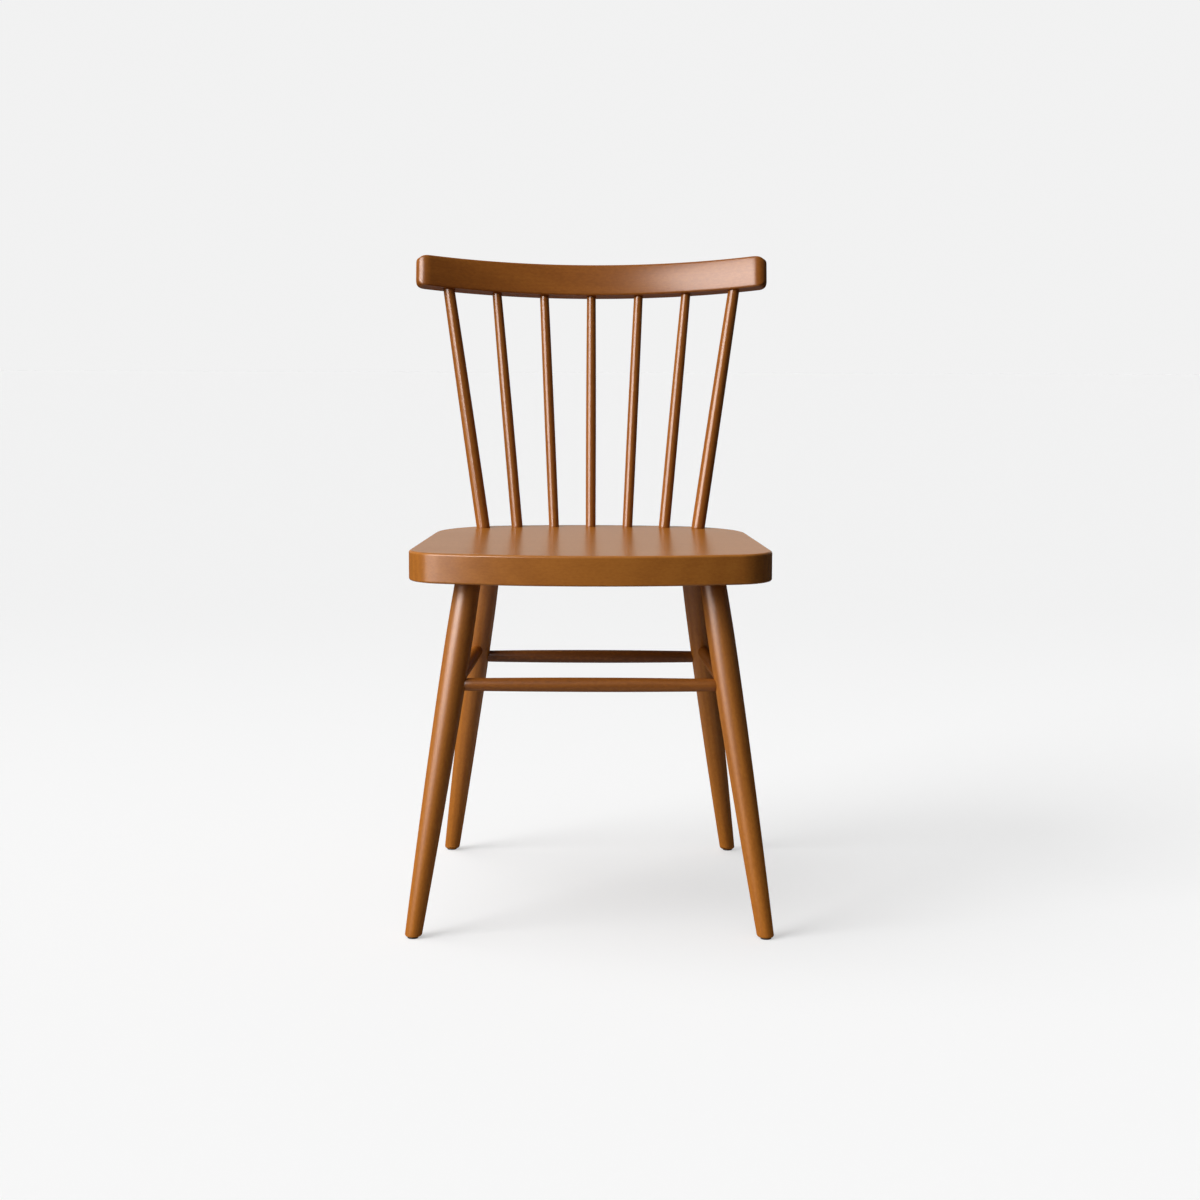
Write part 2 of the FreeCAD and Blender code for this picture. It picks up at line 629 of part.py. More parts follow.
def peg_bar(side, role, room="0"):
    """A peg from the back of the crest rail into the post's tenon, or the cutter for its hole."""
    post = f"back_post_{side}"
    span = f"Layout.{post}_span"
    lean = "Sizes.back_lean"
    swing = f"asin({SIDES[side]} * Sizes.post_top_offset / Sizes.crest_bend)"
    away = [f"sin({swing})", f"cos({swing}) * cos({lean})", f"-cos({swing}) * sin({lean})"]
    spot = [
        f"Layout.{post}_start_{a} + Layout.{post}_run_{a} * ({span} + Sizes.peg_rise) / {span}"
        f" - {way} * Sizes.peg_past_middle"
        for a, way in zip("xyz", [f"({step})" for step in away])
    ]
    bar = doc.addObject("Part::Cylinder", f"crest_peg_{side}_{role}")
    past = " + Sizes.cut_allowance" if role != "solid" else ""
    bind(bar, Radius=f"(Sizes.peg + {room}) / 2")
    bind(bar, Height=f"Sizes.peg_past_middle + Sizes.crest_thickness / 2{past}")
    turn = f"rotation(vector(-({away[1]}); {away[0]}; 0); acos({away[2]}))"
    bind(bar, Placement=f"placement(vector({'; '.join(spot)}); {turn})")
    return bar


def make_pegs():
    """The two pegs that lock the crest rail to the outer posts."""
    keep("crest_pegs", group("crest_pegs", [peg_bar(side, "solid") for side in SIDES]))


def make_legs():
    """The legs: turned, trimmed to the floor and to the seat, with a tenon and mortises."""
    for leg in legs():
        span = f"Layout.{leg}_span"
        trimmed = doc.addObject("Part::Common", leg + "_trimmed")
        trimmed.Base = leg_blank(leg)
        trimmed.Tool = leg_room(leg)
        tenon = cylinder_on_line(
            leg + "_tenon", leg, f"{span} - Sizes.leg_tenon_length",
            "2 * Sizes.leg_tenon_length", "Sizes.leg_tenon",
        )
        whole = doc.addObject("Part::Fuse", leg + "_whole")
        whole.Base = trimmed
        whole.Tool = tenon
        holes = [stretcher_mortise(name, leg) for name, *ends in stretchers() if leg in ends]
        holes.append(nail_bar(leg, "leg_hole", "2 * Sizes.glue_gap", "Sizes.tenon_end_gap"))
        holes.append(foot_chamfer(leg))
        keep(leg, cut(leg, whole, holes))


def leg_rings(leg):
    """Height and diameter of the rings that shape a leg, from below the foot to above the seat.

    The diameter falls away from the belly with a power of the distance, to the foot below and to the
    seat above.
    """
    belly = f"(Layout.{leg}_span - Sizes.leg_belly_drop + Sizes.cut_allowance)"
    above = "(Sizes.leg_belly_drop + Sizes.cut_allowance)"
    rings = []
    for step in range(LEG_RINGS_BELOW):
        share = f"{step} / {LEG_RINGS_BELOW}"
        fall = f"Sizes.leg_foot_taper * (1 - {share}) ^ Sizes.leg_fall_power"
        rings.append((f"{belly} * {share}", f"Sizes.leg_belly - {fall}"))
    for step in range(LEG_RINGS_ABOVE + 1):
        share = f"{step} / {LEG_RINGS_ABOVE}"
        fall = f"Sizes.leg_top_taper * ({share}) ^ Sizes.leg_fall_power"
        rings.append((f"{belly} + {above} * {share}", f"Sizes.leg_belly - {fall}"))
    return rings


def leg_blank(leg):
    """A turned leg with its swell, longer than the leg at both ends."""
    body = doc.addObject("PartDesign::Body", leg + "_body")
    rings = []
    for index, (height, diameter) in enumerate(leg_rings(leg)):
        ring = circle_sketch(body, f"{leg}_ring_{index}", diameter)
        ring.setExpression("AttachmentOffset.Base.z", height)
        rings.append(ring)
    swell = body.newObject("PartDesign::AdditiveLoft", leg + "_swell")
    swell.Profile = rings[0]
    swell.Sections = rings[1:]
    place_on_line(body, leg, "-Sizes.cut_allowance")
    return body


def leg_room(leg):
    """The room of a leg: from the disc under its foot to the underside of the seat."""
    room = doc.addObject("Part::Box", leg + "_room")
    span = f"Layout.{leg}_span"
    bind(room, Length=f"2 * {span}", Width=f"2 * {span}")
    bind(room, Height="Layout.seat_underside - Sizes.glide_thickness")
    corner = [f"Layout.{leg}_start_{letter} - {span}" for letter in "xy"]
    spot = f"vector({corner[0]}; {corner[1]}; Sizes.glide_thickness)"
    bind(room, Placement=f"placement({spot}; rotation(vector(0; 0; 1); 0))")
    return room


def foot_chamfer(leg):
    """The ring that is cut away round a foot, at 45 degrees, to leave its flat."""
    spot = f"vector(Layout.{leg}_start_x; Layout.{leg}_start_y; Sizes.glide_thickness)"
    place = f"placement({spot}; rotation(vector(0; 0; 1); 0))"
    height = "Sizes.cut_allowance"
    stock = doc.addObject("Part::Cylinder", leg + "_chamfer_stock")
    bind(stock, Radius=f"Sizes.leg_belly / 2 + {height}", Height=height, Placement=place)
    core = doc.addObject("Part::Cone", leg + "_chamfer_core")
    flat = "Sizes.foot_flat / 2"
    bind(core, Radius1=flat, Radius2=f"{flat} + {height}", Height=height, Placement=place)
    return cut(leg + "_chamfer", stock, [core])


def stretcher_taper():
    """How fast the radius of a stretcher's tapered tenon grows along its length."""
    end = "(Sizes.stretcher_belly - Sizes.stretcher_end_taper)"
    return f"(({end} - Sizes.stretcher_tip) / (Sizes.leg_belly - 2 * Sizes.stretcher_setback))"


def stretcher_mortise(name, leg):
    """The tapered hole in a leg for one end of a stretcher."""
    first = next(start for stretcher, start, _ in stretchers() if stretcher == name)
    cone = doc.addObject("Part::Cone", f"{name}_mortise_{leg}")
    reach = "(Sizes.leg_belly / 2 - Sizes.stretcher_setback)"
    bind(cone, Radius1="Sizes.stretcher_tip / 2 + Sizes.glue_gap")
    bind(cone, Height=f"{reach} + Sizes.tenon_end_gap + Sizes.cut_allowance")
    growth = f"{stretcher_taper()} * ({reach} + Sizes.tenon_end_gap + Sizes.cut_allowance)"
    bind(cone, Radius2=f"Sizes.stretcher_tip / 2 + Sizes.glue_gap + {growth}")
    place_on_line(cone, name, "Sizes.stretcher_setback - Sizes.tenon_end_gap", backwards=leg != first)
    return cone


def make_stretchers():
    """The stretchers: swelled at mid length, with a tapered tenon at both ends."""
    for name, _, _ in stretchers():
        length = f"(Layout.{name}_span - 2 * Sizes.stretcher_setback)"
        entry = "(Sizes.leg_belly / 2 - Sizes.stretcher_setback)"
        end = "Sizes.stretcher_belly - Sizes.stretcher_end_taper"
        stations = [
            ("0", "Sizes.stretcher_tip"),
            (entry, end),
            (f"{length} / 2", "Sizes.stretcher_belly"),
            (f"{length} - {entry}", end),
            (length, "Sizes.stretcher_tip"),
        ]
        keep(name, turned_body(name, name, "Sizes.stretcher_setback", stations))


def nail_bar(leg, role, room="0", end_gap="0"):
    """The shank of a glide's nail, or the cutter for its hole."""
    low = "Sizes.glide_thickness - Sizes.nail_seat"
    return upright_cylinder(
        f"{leg}_nail_{role}", f"Layout.{leg}_start_x", f"Layout.{leg}_start_y", low,
        f"Sizes.nail_length + {end_gap}", f"Sizes.nail + {room}",
    )


def make_glides():
    """A thin disc under each foot, and the nails that hold them."""
    nails = []
    for leg in legs():
        place = leg.replace("leg_", "glide_")
        body = doc.addObject("PartDesign::Body", place + "_body")
        disc = body.newObject("PartDesign::Pad", place + "_disc")
        disc.Profile = circle_sketch(body, place + "_outline", "Sizes.glide")
        bind(disc, Length="Sizes.glide_thickness")
        doc.recompute()
        ease = body.newObject("PartDesign::Chamfer", place + "_ease")
        ease.Base = (disc, level_edges(disc.Shape, 0))
        bind(ease, Size="Sizes.glide_chamfer")
        spot = f"vector(Layout.{leg}_start_x; Layout.{leg}_start_y; 0)"
        bind(body, Placement=f"placement({spot}; rotation(vector(0; 0; 1); 0))")
        keep(place, cut(place, body, [nail_bar(leg, "glide_hole", "2 * Sizes.glue_gap")]))
        nails.append(make_nail(leg))
    keep("glide_nails", group("glide_nails", nails))


def make_nail(leg):
    """A round nail with a cone for its point."""
    shank = upright_cylinder(
        leg + "_nail_shank", f"Layout.{leg}_start_x", f"Layout.{leg}_start_y",
        "Sizes.glide_thickness - Sizes.nail_seat", "Sizes.nail_length - Sizes.nail_point", "Sizes.nail",
    )
    point = doc.addObject("Part::Cone", leg + "_nail_point")
    bind(point, Radius1="Sizes.nail / 2", Height="Sizes.nail_point")
    point.Radius2 = 0
    height = "Sizes.glide_thickness - Sizes.nail_seat + Sizes.nail_length - Sizes.nail_point"
    spot = f"vector(Layout.{leg}_start_x; Layout.{leg}_start_y; {height})"
    bind(point, Placement=f"placement({spot}; rotation(vector(0; 0; 1); 0))")
    nail = doc.addObject("Part::Fuse", leg + "_nail")
    nail.Base = shank
    nail.Tool = point
    return nail


def check_document():
    """Stops if any object failed or any sub-part has no sound shape."""
    doc.recompute()
    for item in doc.Objects:
        if "Invalid" in item.State or "Error" in item.State:
            raise RuntimeError(f"{item.Label} failed to build")
    for name, item in nodes.items():
        if item.Shape.isNull() or not item.Shape.isValid():
            raise RuntimeError(f"{name} has no sound shape")


def write_parts():
    """Writes each sub-part to a file of its own."""
    os.makedirs("parts", exist_ok=True)
    for name, item in nodes.items():
        item.Shape.exportStep(f"parts/{name}.step")


fill_sizes()
lay_out_seat()
lay_out_back()
lay_out_legs()
lay_out_stretchers()
make_seat()
make_crest()
make_sticks()
make_pegs()
make_legs()
make_stretchers()
make_glides()
check_document()
write_parts()
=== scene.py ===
"""Spindle-back dining chair: its wooden pieces, their stain and lacquer, and a plain studio.

Lengths are in metres. +Z is up, the floor is Z = 0 and the sitter faces -Y. Left is -X.
"""
import json
from math import asin, atan2, copysign, cos, exp, hypot, pi, radians, sin, sqrt, tan

import bmesh
import bpy
from bpy.props import FloatProperty, FloatVectorProperty, PointerProperty
from bpy.types import Operator, PropertyGroup
from mathutils import Matrix, Vector

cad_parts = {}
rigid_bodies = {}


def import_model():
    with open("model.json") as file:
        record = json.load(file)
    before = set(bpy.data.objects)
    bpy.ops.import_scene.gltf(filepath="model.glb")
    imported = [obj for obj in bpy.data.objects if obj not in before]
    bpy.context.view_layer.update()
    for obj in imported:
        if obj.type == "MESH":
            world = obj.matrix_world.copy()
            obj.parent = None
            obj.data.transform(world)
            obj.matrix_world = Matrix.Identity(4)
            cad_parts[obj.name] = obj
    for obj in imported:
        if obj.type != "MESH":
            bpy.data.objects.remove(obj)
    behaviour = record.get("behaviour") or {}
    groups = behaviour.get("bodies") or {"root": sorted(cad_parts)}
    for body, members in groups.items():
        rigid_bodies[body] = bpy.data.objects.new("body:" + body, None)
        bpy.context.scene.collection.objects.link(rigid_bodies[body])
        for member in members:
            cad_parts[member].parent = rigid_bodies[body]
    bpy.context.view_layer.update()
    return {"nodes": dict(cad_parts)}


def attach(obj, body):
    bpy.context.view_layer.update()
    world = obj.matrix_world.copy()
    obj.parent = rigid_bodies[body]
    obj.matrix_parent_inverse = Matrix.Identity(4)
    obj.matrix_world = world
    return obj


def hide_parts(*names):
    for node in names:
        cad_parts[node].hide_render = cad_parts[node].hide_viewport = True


bl_info = {
    "name": "Spindle-back chair",
    "version": (1, 0, 0),
    "blender": (4, 5, 0),
    "location": "3D View > Sidebar > Chair",
    "description": "Builds a spindle-back dining chair in stained wood, and its studio",
    "category": "Object",
}

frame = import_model()

BODY = "root"
SIDES = {"left": -1, "right": 1}
FULL_TURN = 2 * pi
UP = Vector((0, 0, 1))
SAME_PLACE = 1e-6
SAME_POINT = 1e-7

# How many steps make up each curve
TURN_STEPS = 40
LEG_STEPS = 56
PEG_STEPS = 28
STICK_STEPS = (8, 24)
LEG_FALL_STEPS = (40, 12)
STRETCHER_STEPS = (18, 18)
FRONT_BOW_STEPS = 24
FRONT_CORNER_STEPS = 20
BACK_CORNER_STEPS = 24
BACK_BOW_STEPS = 20
CREST_STEPS = 72
CREST_END_STEPS = 14
CREST_FACE_CUTS = 9
SEAT_EASE_STEPS = 6
CREST_EASE_STEPS = 5
FOOT_EASE_STEPS = 5

# Share of the crest rail's thickness in front of its middle where its front face begins
FRONT_FACE = 0.499
# Rise and width of a peg's worn end, as shares of its dome and its diameter
PEG_END = ((0.0, 1.0), (0.7, 0.86), (1.0, 0.5))
# Rise and loss of a glide's lower edge, as shares of its chamfer
GLIDE_EASE = ((0.0, 1.0), (0.3, 0.3), (1.0, 0.0))

# How much darker than the main tone each kind of piece is: the stain it took, and on the stretchers painted
# shade from the seat as well, deepest on the rear one
STAIN_AND_SHADE_DEPTH = {
    "seat": 0.08, "crest": 0.4, "stick": 0.34, "leg": 0.16, "stretcher": 0.46, "stretcher_rear": 0.95,
}
# Limits of the paler band on an eased edge, as shares of its rounding: a painted highlight along the seat's
# top edge, and wear round the feet
SEAT_EDGE_HIGHLIGHT = (0.045, 0.9)
FOOT_WEAR = (0.2, 0.95)
# How far the darkening round a joint reaches, and how strong the painted shade along the crest rail's long
# edges is
STICK_JOINT = 0.003
LEG_JOINT = 0.004
PEG_JOINT = 0.0004
CREST_PAINTED_EDGE_SHADE = 0.6
# Share of the lacquer at the feet and on the stretchers
FOOT_LACQUER = 0.1
STRETCHER_LACQUER = 0.6
# Step in the grain's own space from one piece to the next
GRAIN_SHIFT = (0.173, 0.311, 0.537)
# Edges of growth rings in a metre, and how many of them the rings waver by
RING_EDGES = 230.0
RING_WAVER = 9.0

# The floor, with the limits of its bright sheet and of the fade into the backdrop
FLOOR_SIZE = 80.0
DARK_PAPER = 0.04
SHEET_BACK = (-1.0, -0.5)
SHEET_SIDE = (0.3, 0.9)
SHEET_MIRRORED = (0.0, 0.8)
FADE_BACK = (0.2, 3.2)
FADE_AWAY = (5.0, 14.0)
# Share of each fill that reaches the floor
LEFT_ON_FLOOR = 0.42
BACK_ON_FLOOR = 0.2
# Directions between which the fills grow and the lacquer mirrors the backdrop
FILL_RIGHT = (-0.8, 0.5)
FILL_BACK = (0.0, 1.0)
MIRROR_AHEAD = (0.86, 0.98)
MIRROR_UP = (0.1, 0.4)
WHITE = (1.0, 1.0, 1.0, 1.0)
WARM_WHITE = (1.0, 0.99, 0.9, 1.0)


def length(name, description, default):
    """A length that a user may change."""
    return FloatProperty(
        name=name, description=description, default=default, min=0, unit="LENGTH", precision=4
    )


def lengths(name, description, default):
    """A few lengths that belong together."""
    return FloatVectorProperty(
        name=name, description=description, default=default, size=len(default), min=0,
        unit="LENGTH", precision=4,
    )


def angle(name, description, degrees):
    """An angle that a user may change."""
    return FloatProperty(name=name, description=description, default=radians(degrees), unit="ROTATION")


def angles(name, description, degrees):
    """Two angles that belong together."""
    default = [radians(turn) for turn in degrees]
    return FloatVectorProperty(name=name, description=description, default=default, size=2, unit="ROTATION")


def share(name, description, default, top=1.0):
    """A plain number from nothing to a top value."""
    return FloatProperty(name=name, description=description, default=default, min=0, max=top)


def shares(name, description, default):
    """A few plain numbers from 0 to 1 that belong together."""
    return FloatVectorProperty(
        name=name, description=description, default=default, size=len(default), min=0, max=1
    )


def colour(name, description, default):
    """A colour, given as linear red, green and blue."""
    return FloatVectorProperty(
        name=name, description=description, default=default, size=3, min=0, max=1, subtype="COLOR"
    )


class SeatSizes(PropertyGroup):
    """Sizes of the seat slab."""

    height: length("Height", "Floor to the top of the seat", 0.455)
    thickness: length("Thickness", "Slab of the seat", 0.036)
    depth: length("Depth", "Front edge to back edge on the middle line", 0.432)
    front_reach: length("Front reach", "Origin to the front edge on the middle line", 0.2434)
    front_width: length("Front width", "Between the sides at the front corners, before rounding", 0.441)
    back_width: length("Back width", "Between the sides at the back corners, before rounding", 0.395)
    front_bow: length("Front bow", "Radius of the bowed front edge", 0.65)
    back_bow: length("Back bow", "Radius of the bowed back edge", 0.51)
    front_corner: length("Front corner", "Plan radius of the front corners", 0.054)
    back_corner: length("Back corner", "Plan radius of the back corners", 0.112)
    top_round: length("Top rounding", "Rounding of the top edge", 0.003)
    bottom_round: length("Bottom rounding", "Rounding of the bottom edge", 0.0025)


class BackSizes(PropertyGroup):
    """Sizes of the crest rail and of the sticks that carry it."""

    lean: angle("Lean", "Lean of the back from upright", 14)
    crest_bottom: length("Crest underside", "Floor to the rail's underside on the middle line", 0.7618)
    crest_height: length("Crest height", "Height of the crest rail along its own lean", 0.0426)
    crest_thickness: length("Crest thickness", "Front face to back face of the crest rail", 0.023)
    crest_bend: length("Crest bend", "Radius of the bent crest rail at mid thickness", 0.535)
    crest_chord: length("Crest chord", "Straight distance between the rail's ends", 0.468)
    crest_end_round: length("Crest end rounding", "Depth of the rounded ends, from either face", 0.0102)
    crest_end_roll: length("Crest end roll", "Length of the ends' rounding along the rail", 0.0165)
    crest_corner: length("Crest corner", "Height of the rounded corners seen from the front", 0.0165)
    crest_square: share("Crest squareness", "Power of the corners' curve, 2 for an ellipse", 3.5, 8)
    crest_edge_round: length("Crest edge rounding", "Rounding of the rail's long edges", 0.003)
    crest_crown: length("Crest crown", "How far the rail's front face swells at half height", 0.0008)
    spindle_inset: length("Spindle inset", "Middle of the spindles to the seat's back edge", 0.028)
    pitch: lengths("Spindle pitch", "Step between spindles at the seat and at the rail", (0.0493, 0.064))
    spread: lengths("Post spread", "Middle line to a post at the seat and at the rail", (0.1433, 0.1917))
    inner: lengths("Inner spindles", "Three diameters and belly rise", (0.0132, 0.0135, 0.012, 0.11))
    side: lengths("Side spindles", "The same sizes, second on each side", (0.0147, 0.0148, 0.0124, 0.07))
    post: lengths("Posts", "The same sizes of the outer posts", (0.0177, 0.0178, 0.0151, 0.02))
    sunk: length("Sunk end", "How far a stick runs on into the seat and the crest rail", 0.004)
    peg: length("Peg", "Diameter of the pegs that lock the crest rail", 0.006)
    peg_rise: length("Peg rise", "Underside of the crest rail to the middle of a peg", 0.011)
    peg_dome: length("Peg dome", "How far the worn end of a peg stands proud", 0.0003)


class LegSizes(PropertyGroup):
    """Sizes of the legs, the stretchers that tie them and the discs under the feet."""

    front_gap: lengths("Front gap", "Between the front legs at the floor and at the seat", (0.419, 0.2936))
    front_set: lengths("Front set", "Front edge out to the feet and in to the tops", (0.005, 0.078))
    rear_gap: lengths("Rear gap", "Between the rear legs at the floor and at the seat", (0.3835, 0.266))
    rear_set: lengths("Rear set", "Back edge out to the feet and in to the tops", (0.023, 0.085))
    belly: length("Leg", "Thickest diameter of a leg", 0.0326)
    belly_drop: length("Leg belly drop", "Seat down to the thickest place of a leg", 0.074)
    top_taper: length("Leg top taper", "Loss of diameter from there to past the seat's underside", 0.0024)
    foot_taper: length("Leg foot taper", "Loss of diameter from there to below the floor", 0.0133)
    fall_power: share("Leg fall", "How sharply a leg thins away from its thickest place", 1.6, 4)
    foot_chamfer: length("Foot chamfer", "Easing round the bottom of a foot", 0.0031)
    overrun: length("Overrun", "How far a turned blank runs past its cuts", 0.012)
    front_stretcher: length("Front stretcher", "Floor to the middle of the front stretcher", 0.295)
    rear_stretcher: length("Rear stretcher", "Floor to the middle of the rear stretcher", 0.2817)
    side_stretcher: length("Side stretchers", "Floor to the middle of the side stretchers", 0.291)
    stretcher: length("Stretcher", "Thickest diameter of a stretcher, at mid length", 0.0173)
    stretcher_end: length("Stretcher end", "Diameter of a stretcher at the leg", 0.0151)
    stretcher_tip: length("Stretcher tip", "Diameter at the tip of a stretcher's tapered tenon", 0.01)
    stretcher_setback: length("Stretcher setback", "Middle of the leg to the tip of the tenon", 0.006)
    glide: length("Glide", "Diameter of the disc under a foot", 0.013)
    glide_thickness: length("Glide thickness", "Thickness of that disc", 0.002)
    glide_chamfer: length("Glide chamfer", "Chamfer on the disc's lower edge", 0.0005)


class WoodFinish(PropertyGroup):
    """Stain and lacquer of the wood."""

    # Darkest stop of the ramp, reached mostly by the rear stretcher: painted shadow of the seat rather than
    # stain
    deep_stain_and_shadow: colour("Deep stain", "Stain where the wood drank most of it", (0.107, 0.0315, 0.005))
    dark: colour("Dark stain", "Stain in the pores and late wood", (0.243, 0.0756, 0.0106))
    mid: colour("Stain", "The stain's main tone", (0.369, 0.128, 0.0185))
    light: colour("Light stain", "Stain on the early wood", (0.446, 0.166, 0.027))
    figure: share("Figure", "Contrast of the growth rings", 0.12)
    fibre: share("Fibre", "Contrast of the fine fibres", 0.22)
    mottle: share("Mottle", "Contrast of the fine mottling", 0.5)
    pores: share("Pores", "Darkness of the pores", 0.2)
    blotch: share("Blotch", "Unevenness of the stain", 0.2)
    # Paler eased edges: painted highlight along the seat's top edge, and wear round the feet
    edge_wear_and_highlight: share("Edge wear", "How much paler the handled edges are", 0.2)
    # Darker at the joints, and painted shade along the crest rail's long edges
    joint_darkening_and_edge_shade: share("Joint shade", "How much darker the stain is at the joints", 0.4)
    roughness: share("Roughness", "Roughness of the stained surface", 0.45)
    index: share("Lacquer index", "Index of refraction of the lacquer", 1.5, 3)
    rim: share("Rim", "How far the lacquer's gloss dies at the rims of all pieces but the seat", 0.9)
    seat: shares("Seat lacquer", "Weight and roughness of the lacquer on the seat", (0.72, 0.27))
    crest: shares("Crest lacquer", "The same on the crest rail", (0.66, 0.27))
    stick: shares("Stick lacquer", "The same on the posts and spindles", (0.62, 0.21))
    turned: shares("Leg lacquer", "The same on the legs, stretchers and pegs", (1.0, 0.35))
    relief: share("Relief", "Depth of the grain under the lacquer", 0.05)


class Studio(PropertyGroup):
    """Camera, floor and lamps."""

    lens: FloatProperty(name="Lens", description="Focal length in millimetres", default=66.76, min=1)
    camera_distance: length("Camera distance", "Camera to the origin, along the floor", 2.824)
    camera_height: length("Camera height", "Camera above the floor", 0.7109)
    tilt: angle("Tilt", "How far the camera looks down", 6.79)
    pan: angle("Pan", "How far the camera looks to the right", 0.247)
    roll: angle("Roll", "Turn of the camera about its own axis", 0.2)
    backdrop: share("Backdrop", "Grey level of the backdrop", 0.885)
    floor: share("Floor", "Grey level of the floor in front", 0.935)
    paper: share("Paper", "Share of the light on the floor that it gives back", 0.46)
    fill: share("Fill", "Light from all round", 0.065)
    fill_left: share("Fill from the left", "More light from the left", 0.1)
    fill_back: share("Fill from behind", "More light from behind the chair", 0.15)
    key: share("Key light", "Strength of the key light, a soft box on the left", 3.05, 20)
    key_size: angle("Key size", "Width of the key light as the chair sees it", 38)
    key_aim: angles("Key aim", "Key light round to the left of the camera, and over the floor", (58, 22))
    top: share("Top light", "Strength of the soft light overhead", 1.9, 20)
    top_size: angle("Top size", "Width of the top light as the chair sees it", 70)
    top_aim: angles("Top aim", "The same for the top light", (80, 60))
    sheen: share("Sheen box", "Power of the wide box that shows only in the lacquer", 410.0, 2000)
    sheen_aim: angles("Sheen aim", "Sheen box round to the left, and over the seat's height", (47, 28.5))
    sheen_distance: length("Sheen distance", "Middle of the chair to the sheen box, along the floor", 4.0)
    sheen_size: lengths("Sheen size", "Width and height of the sheen box", (3.7, 2.15))
    low: share("Low box", "Power of the low box that shows only in the lacquer", 32.0, 2000)
    low_aim: angles("Low aim", "The same for the low box", (52, 0))
    low_distance: length("Low distance", "Middle of the chair to the low box, along the floor", 2.4)
    low_size: lengths("Low size", "Width and height of the low box", (1.7, 0.85))


class Value:
    """A node's output, which takes part in Python arithmetic and adds Math nodes as it goes."""

    def __init__(self, bench, socket):
        self.bench = bench
        self.socket = socket

    def math(self, operation, first, second):
        return self.bench.add("ShaderNodeMath", {"operation": operation}, {0: first, 1: second})

    def __add__(self, other):
        return self.math("ADD", self, other)

    def __sub__(self, other):
        return self.math("SUBTRACT", self, other)

    def __rsub__(self, other):
        return self.math("SUBTRACT", other, self)

    def __mul__(self, other):
        return self.math("MULTIPLY", self, other)

    __radd__ = __add__
    __rmul__ = __mul__


class Bench:
    """A node tree, with one way to add a node to it."""

    def __init__(self, tree):
        self.tree = tree
        tree.nodes.clear()

    def add(self, kind, settings=None, inputs=None, output=0):
        node = self.tree.nodes.new(kind)
        for key, value in (settings or {}).items():
            if key == "stops":
                ramp = node.color_ramp.elements
                while len(ramp) < len(value):
                    ramp.new(1)
                for element, (place, tone) in zip(ramp, value):
                    element.position = place
                    element.color = tone
            else:
                setattr(node, key, value)
        for key, value in (inputs or {}).items():
            if isinstance(value, Value):
                self.tree.links.new(value.socket, node.inputs[key])
            else:
                node.inputs[key].default_value = value
        return Value(self, node.outputs[output]) if node.outputs else None

    def attribute(self, name, output="Fac"):
        """A value that the mesh carries."""
        return self.add("ShaderNodeAttribute", {"attribute_name": name}, output=output)

    def place(self, space):
        """The place on an object, or the direction in the world."""
        return self.add("ShaderNodeTexCoord", None, None, output=space)

    def parts(self, vector):
        """The X, Y and Z of a vector."""
        return [self.add("ShaderNodeSeparateXYZ", None, {0: vector}, output=axis) for axis in "XYZ"]

    def rays(self, kind):
        """1 for rays of one kind, otherwise 0."""
        return self.add("ShaderNodeLightPath", None, None, output=f"Is {kind} Ray")

    def seen(self):
        """1 for rays from the camera, otherwise 0."""
        return self.rays("Camera") + self.rays("Transmission")

    def principled(self, inputs):
        """Makes the material's surface."""
        surface = self.add("ShaderNodeBsdfPrincipled", None, inputs)
        self.add("ShaderNodeOutputMaterial", None, {"Surface": surface})

    def noise(self, place, stretch, detail, roughness=0.5):
        """Noise from 0 to 1, with its cycles per metre along the three axes."""
        scaled = self.add("ShaderNodeVectorMath", {"operation": "MULTIPLY"}, {0: place, 1: stretch})
        return self.add(
            "ShaderNodeTexNoise", {"noise_dimensions": "3D"},
            {"Vector": scaled, "Scale": 1.0, "Detail": detail, "Roughness": roughness},
        )

    def step(self, value, low, high):
        """Turns a value into a smooth step from 0 at low to 1 at high."""
        return self.add(
            "ShaderNodeMapRange", {"interpolation_type": "SMOOTHSTEP"},
            {"Value": value, "From Min": low, "From Max": high, "To Min": 0.0, "To Max": 1.0},
        )

    def blend(self, factor, first, second):
        """Mixes two colours."""
        return self.add(
            "ShaderNodeMix", {"data_type": "RGBA", "blend_type": "MIX"},
            {"Factor": factor, 6: first, 7: second}, output=2,
        )


def opaque(tone):
    """A colour with full alpha."""
    return (*tone, 1.0)


def new_material(name):
    """An empty material and its bench."""
    material = bpy.data.materials.new(name)
    material.use_nodes = True
    return material, Bench(material.node_tree)


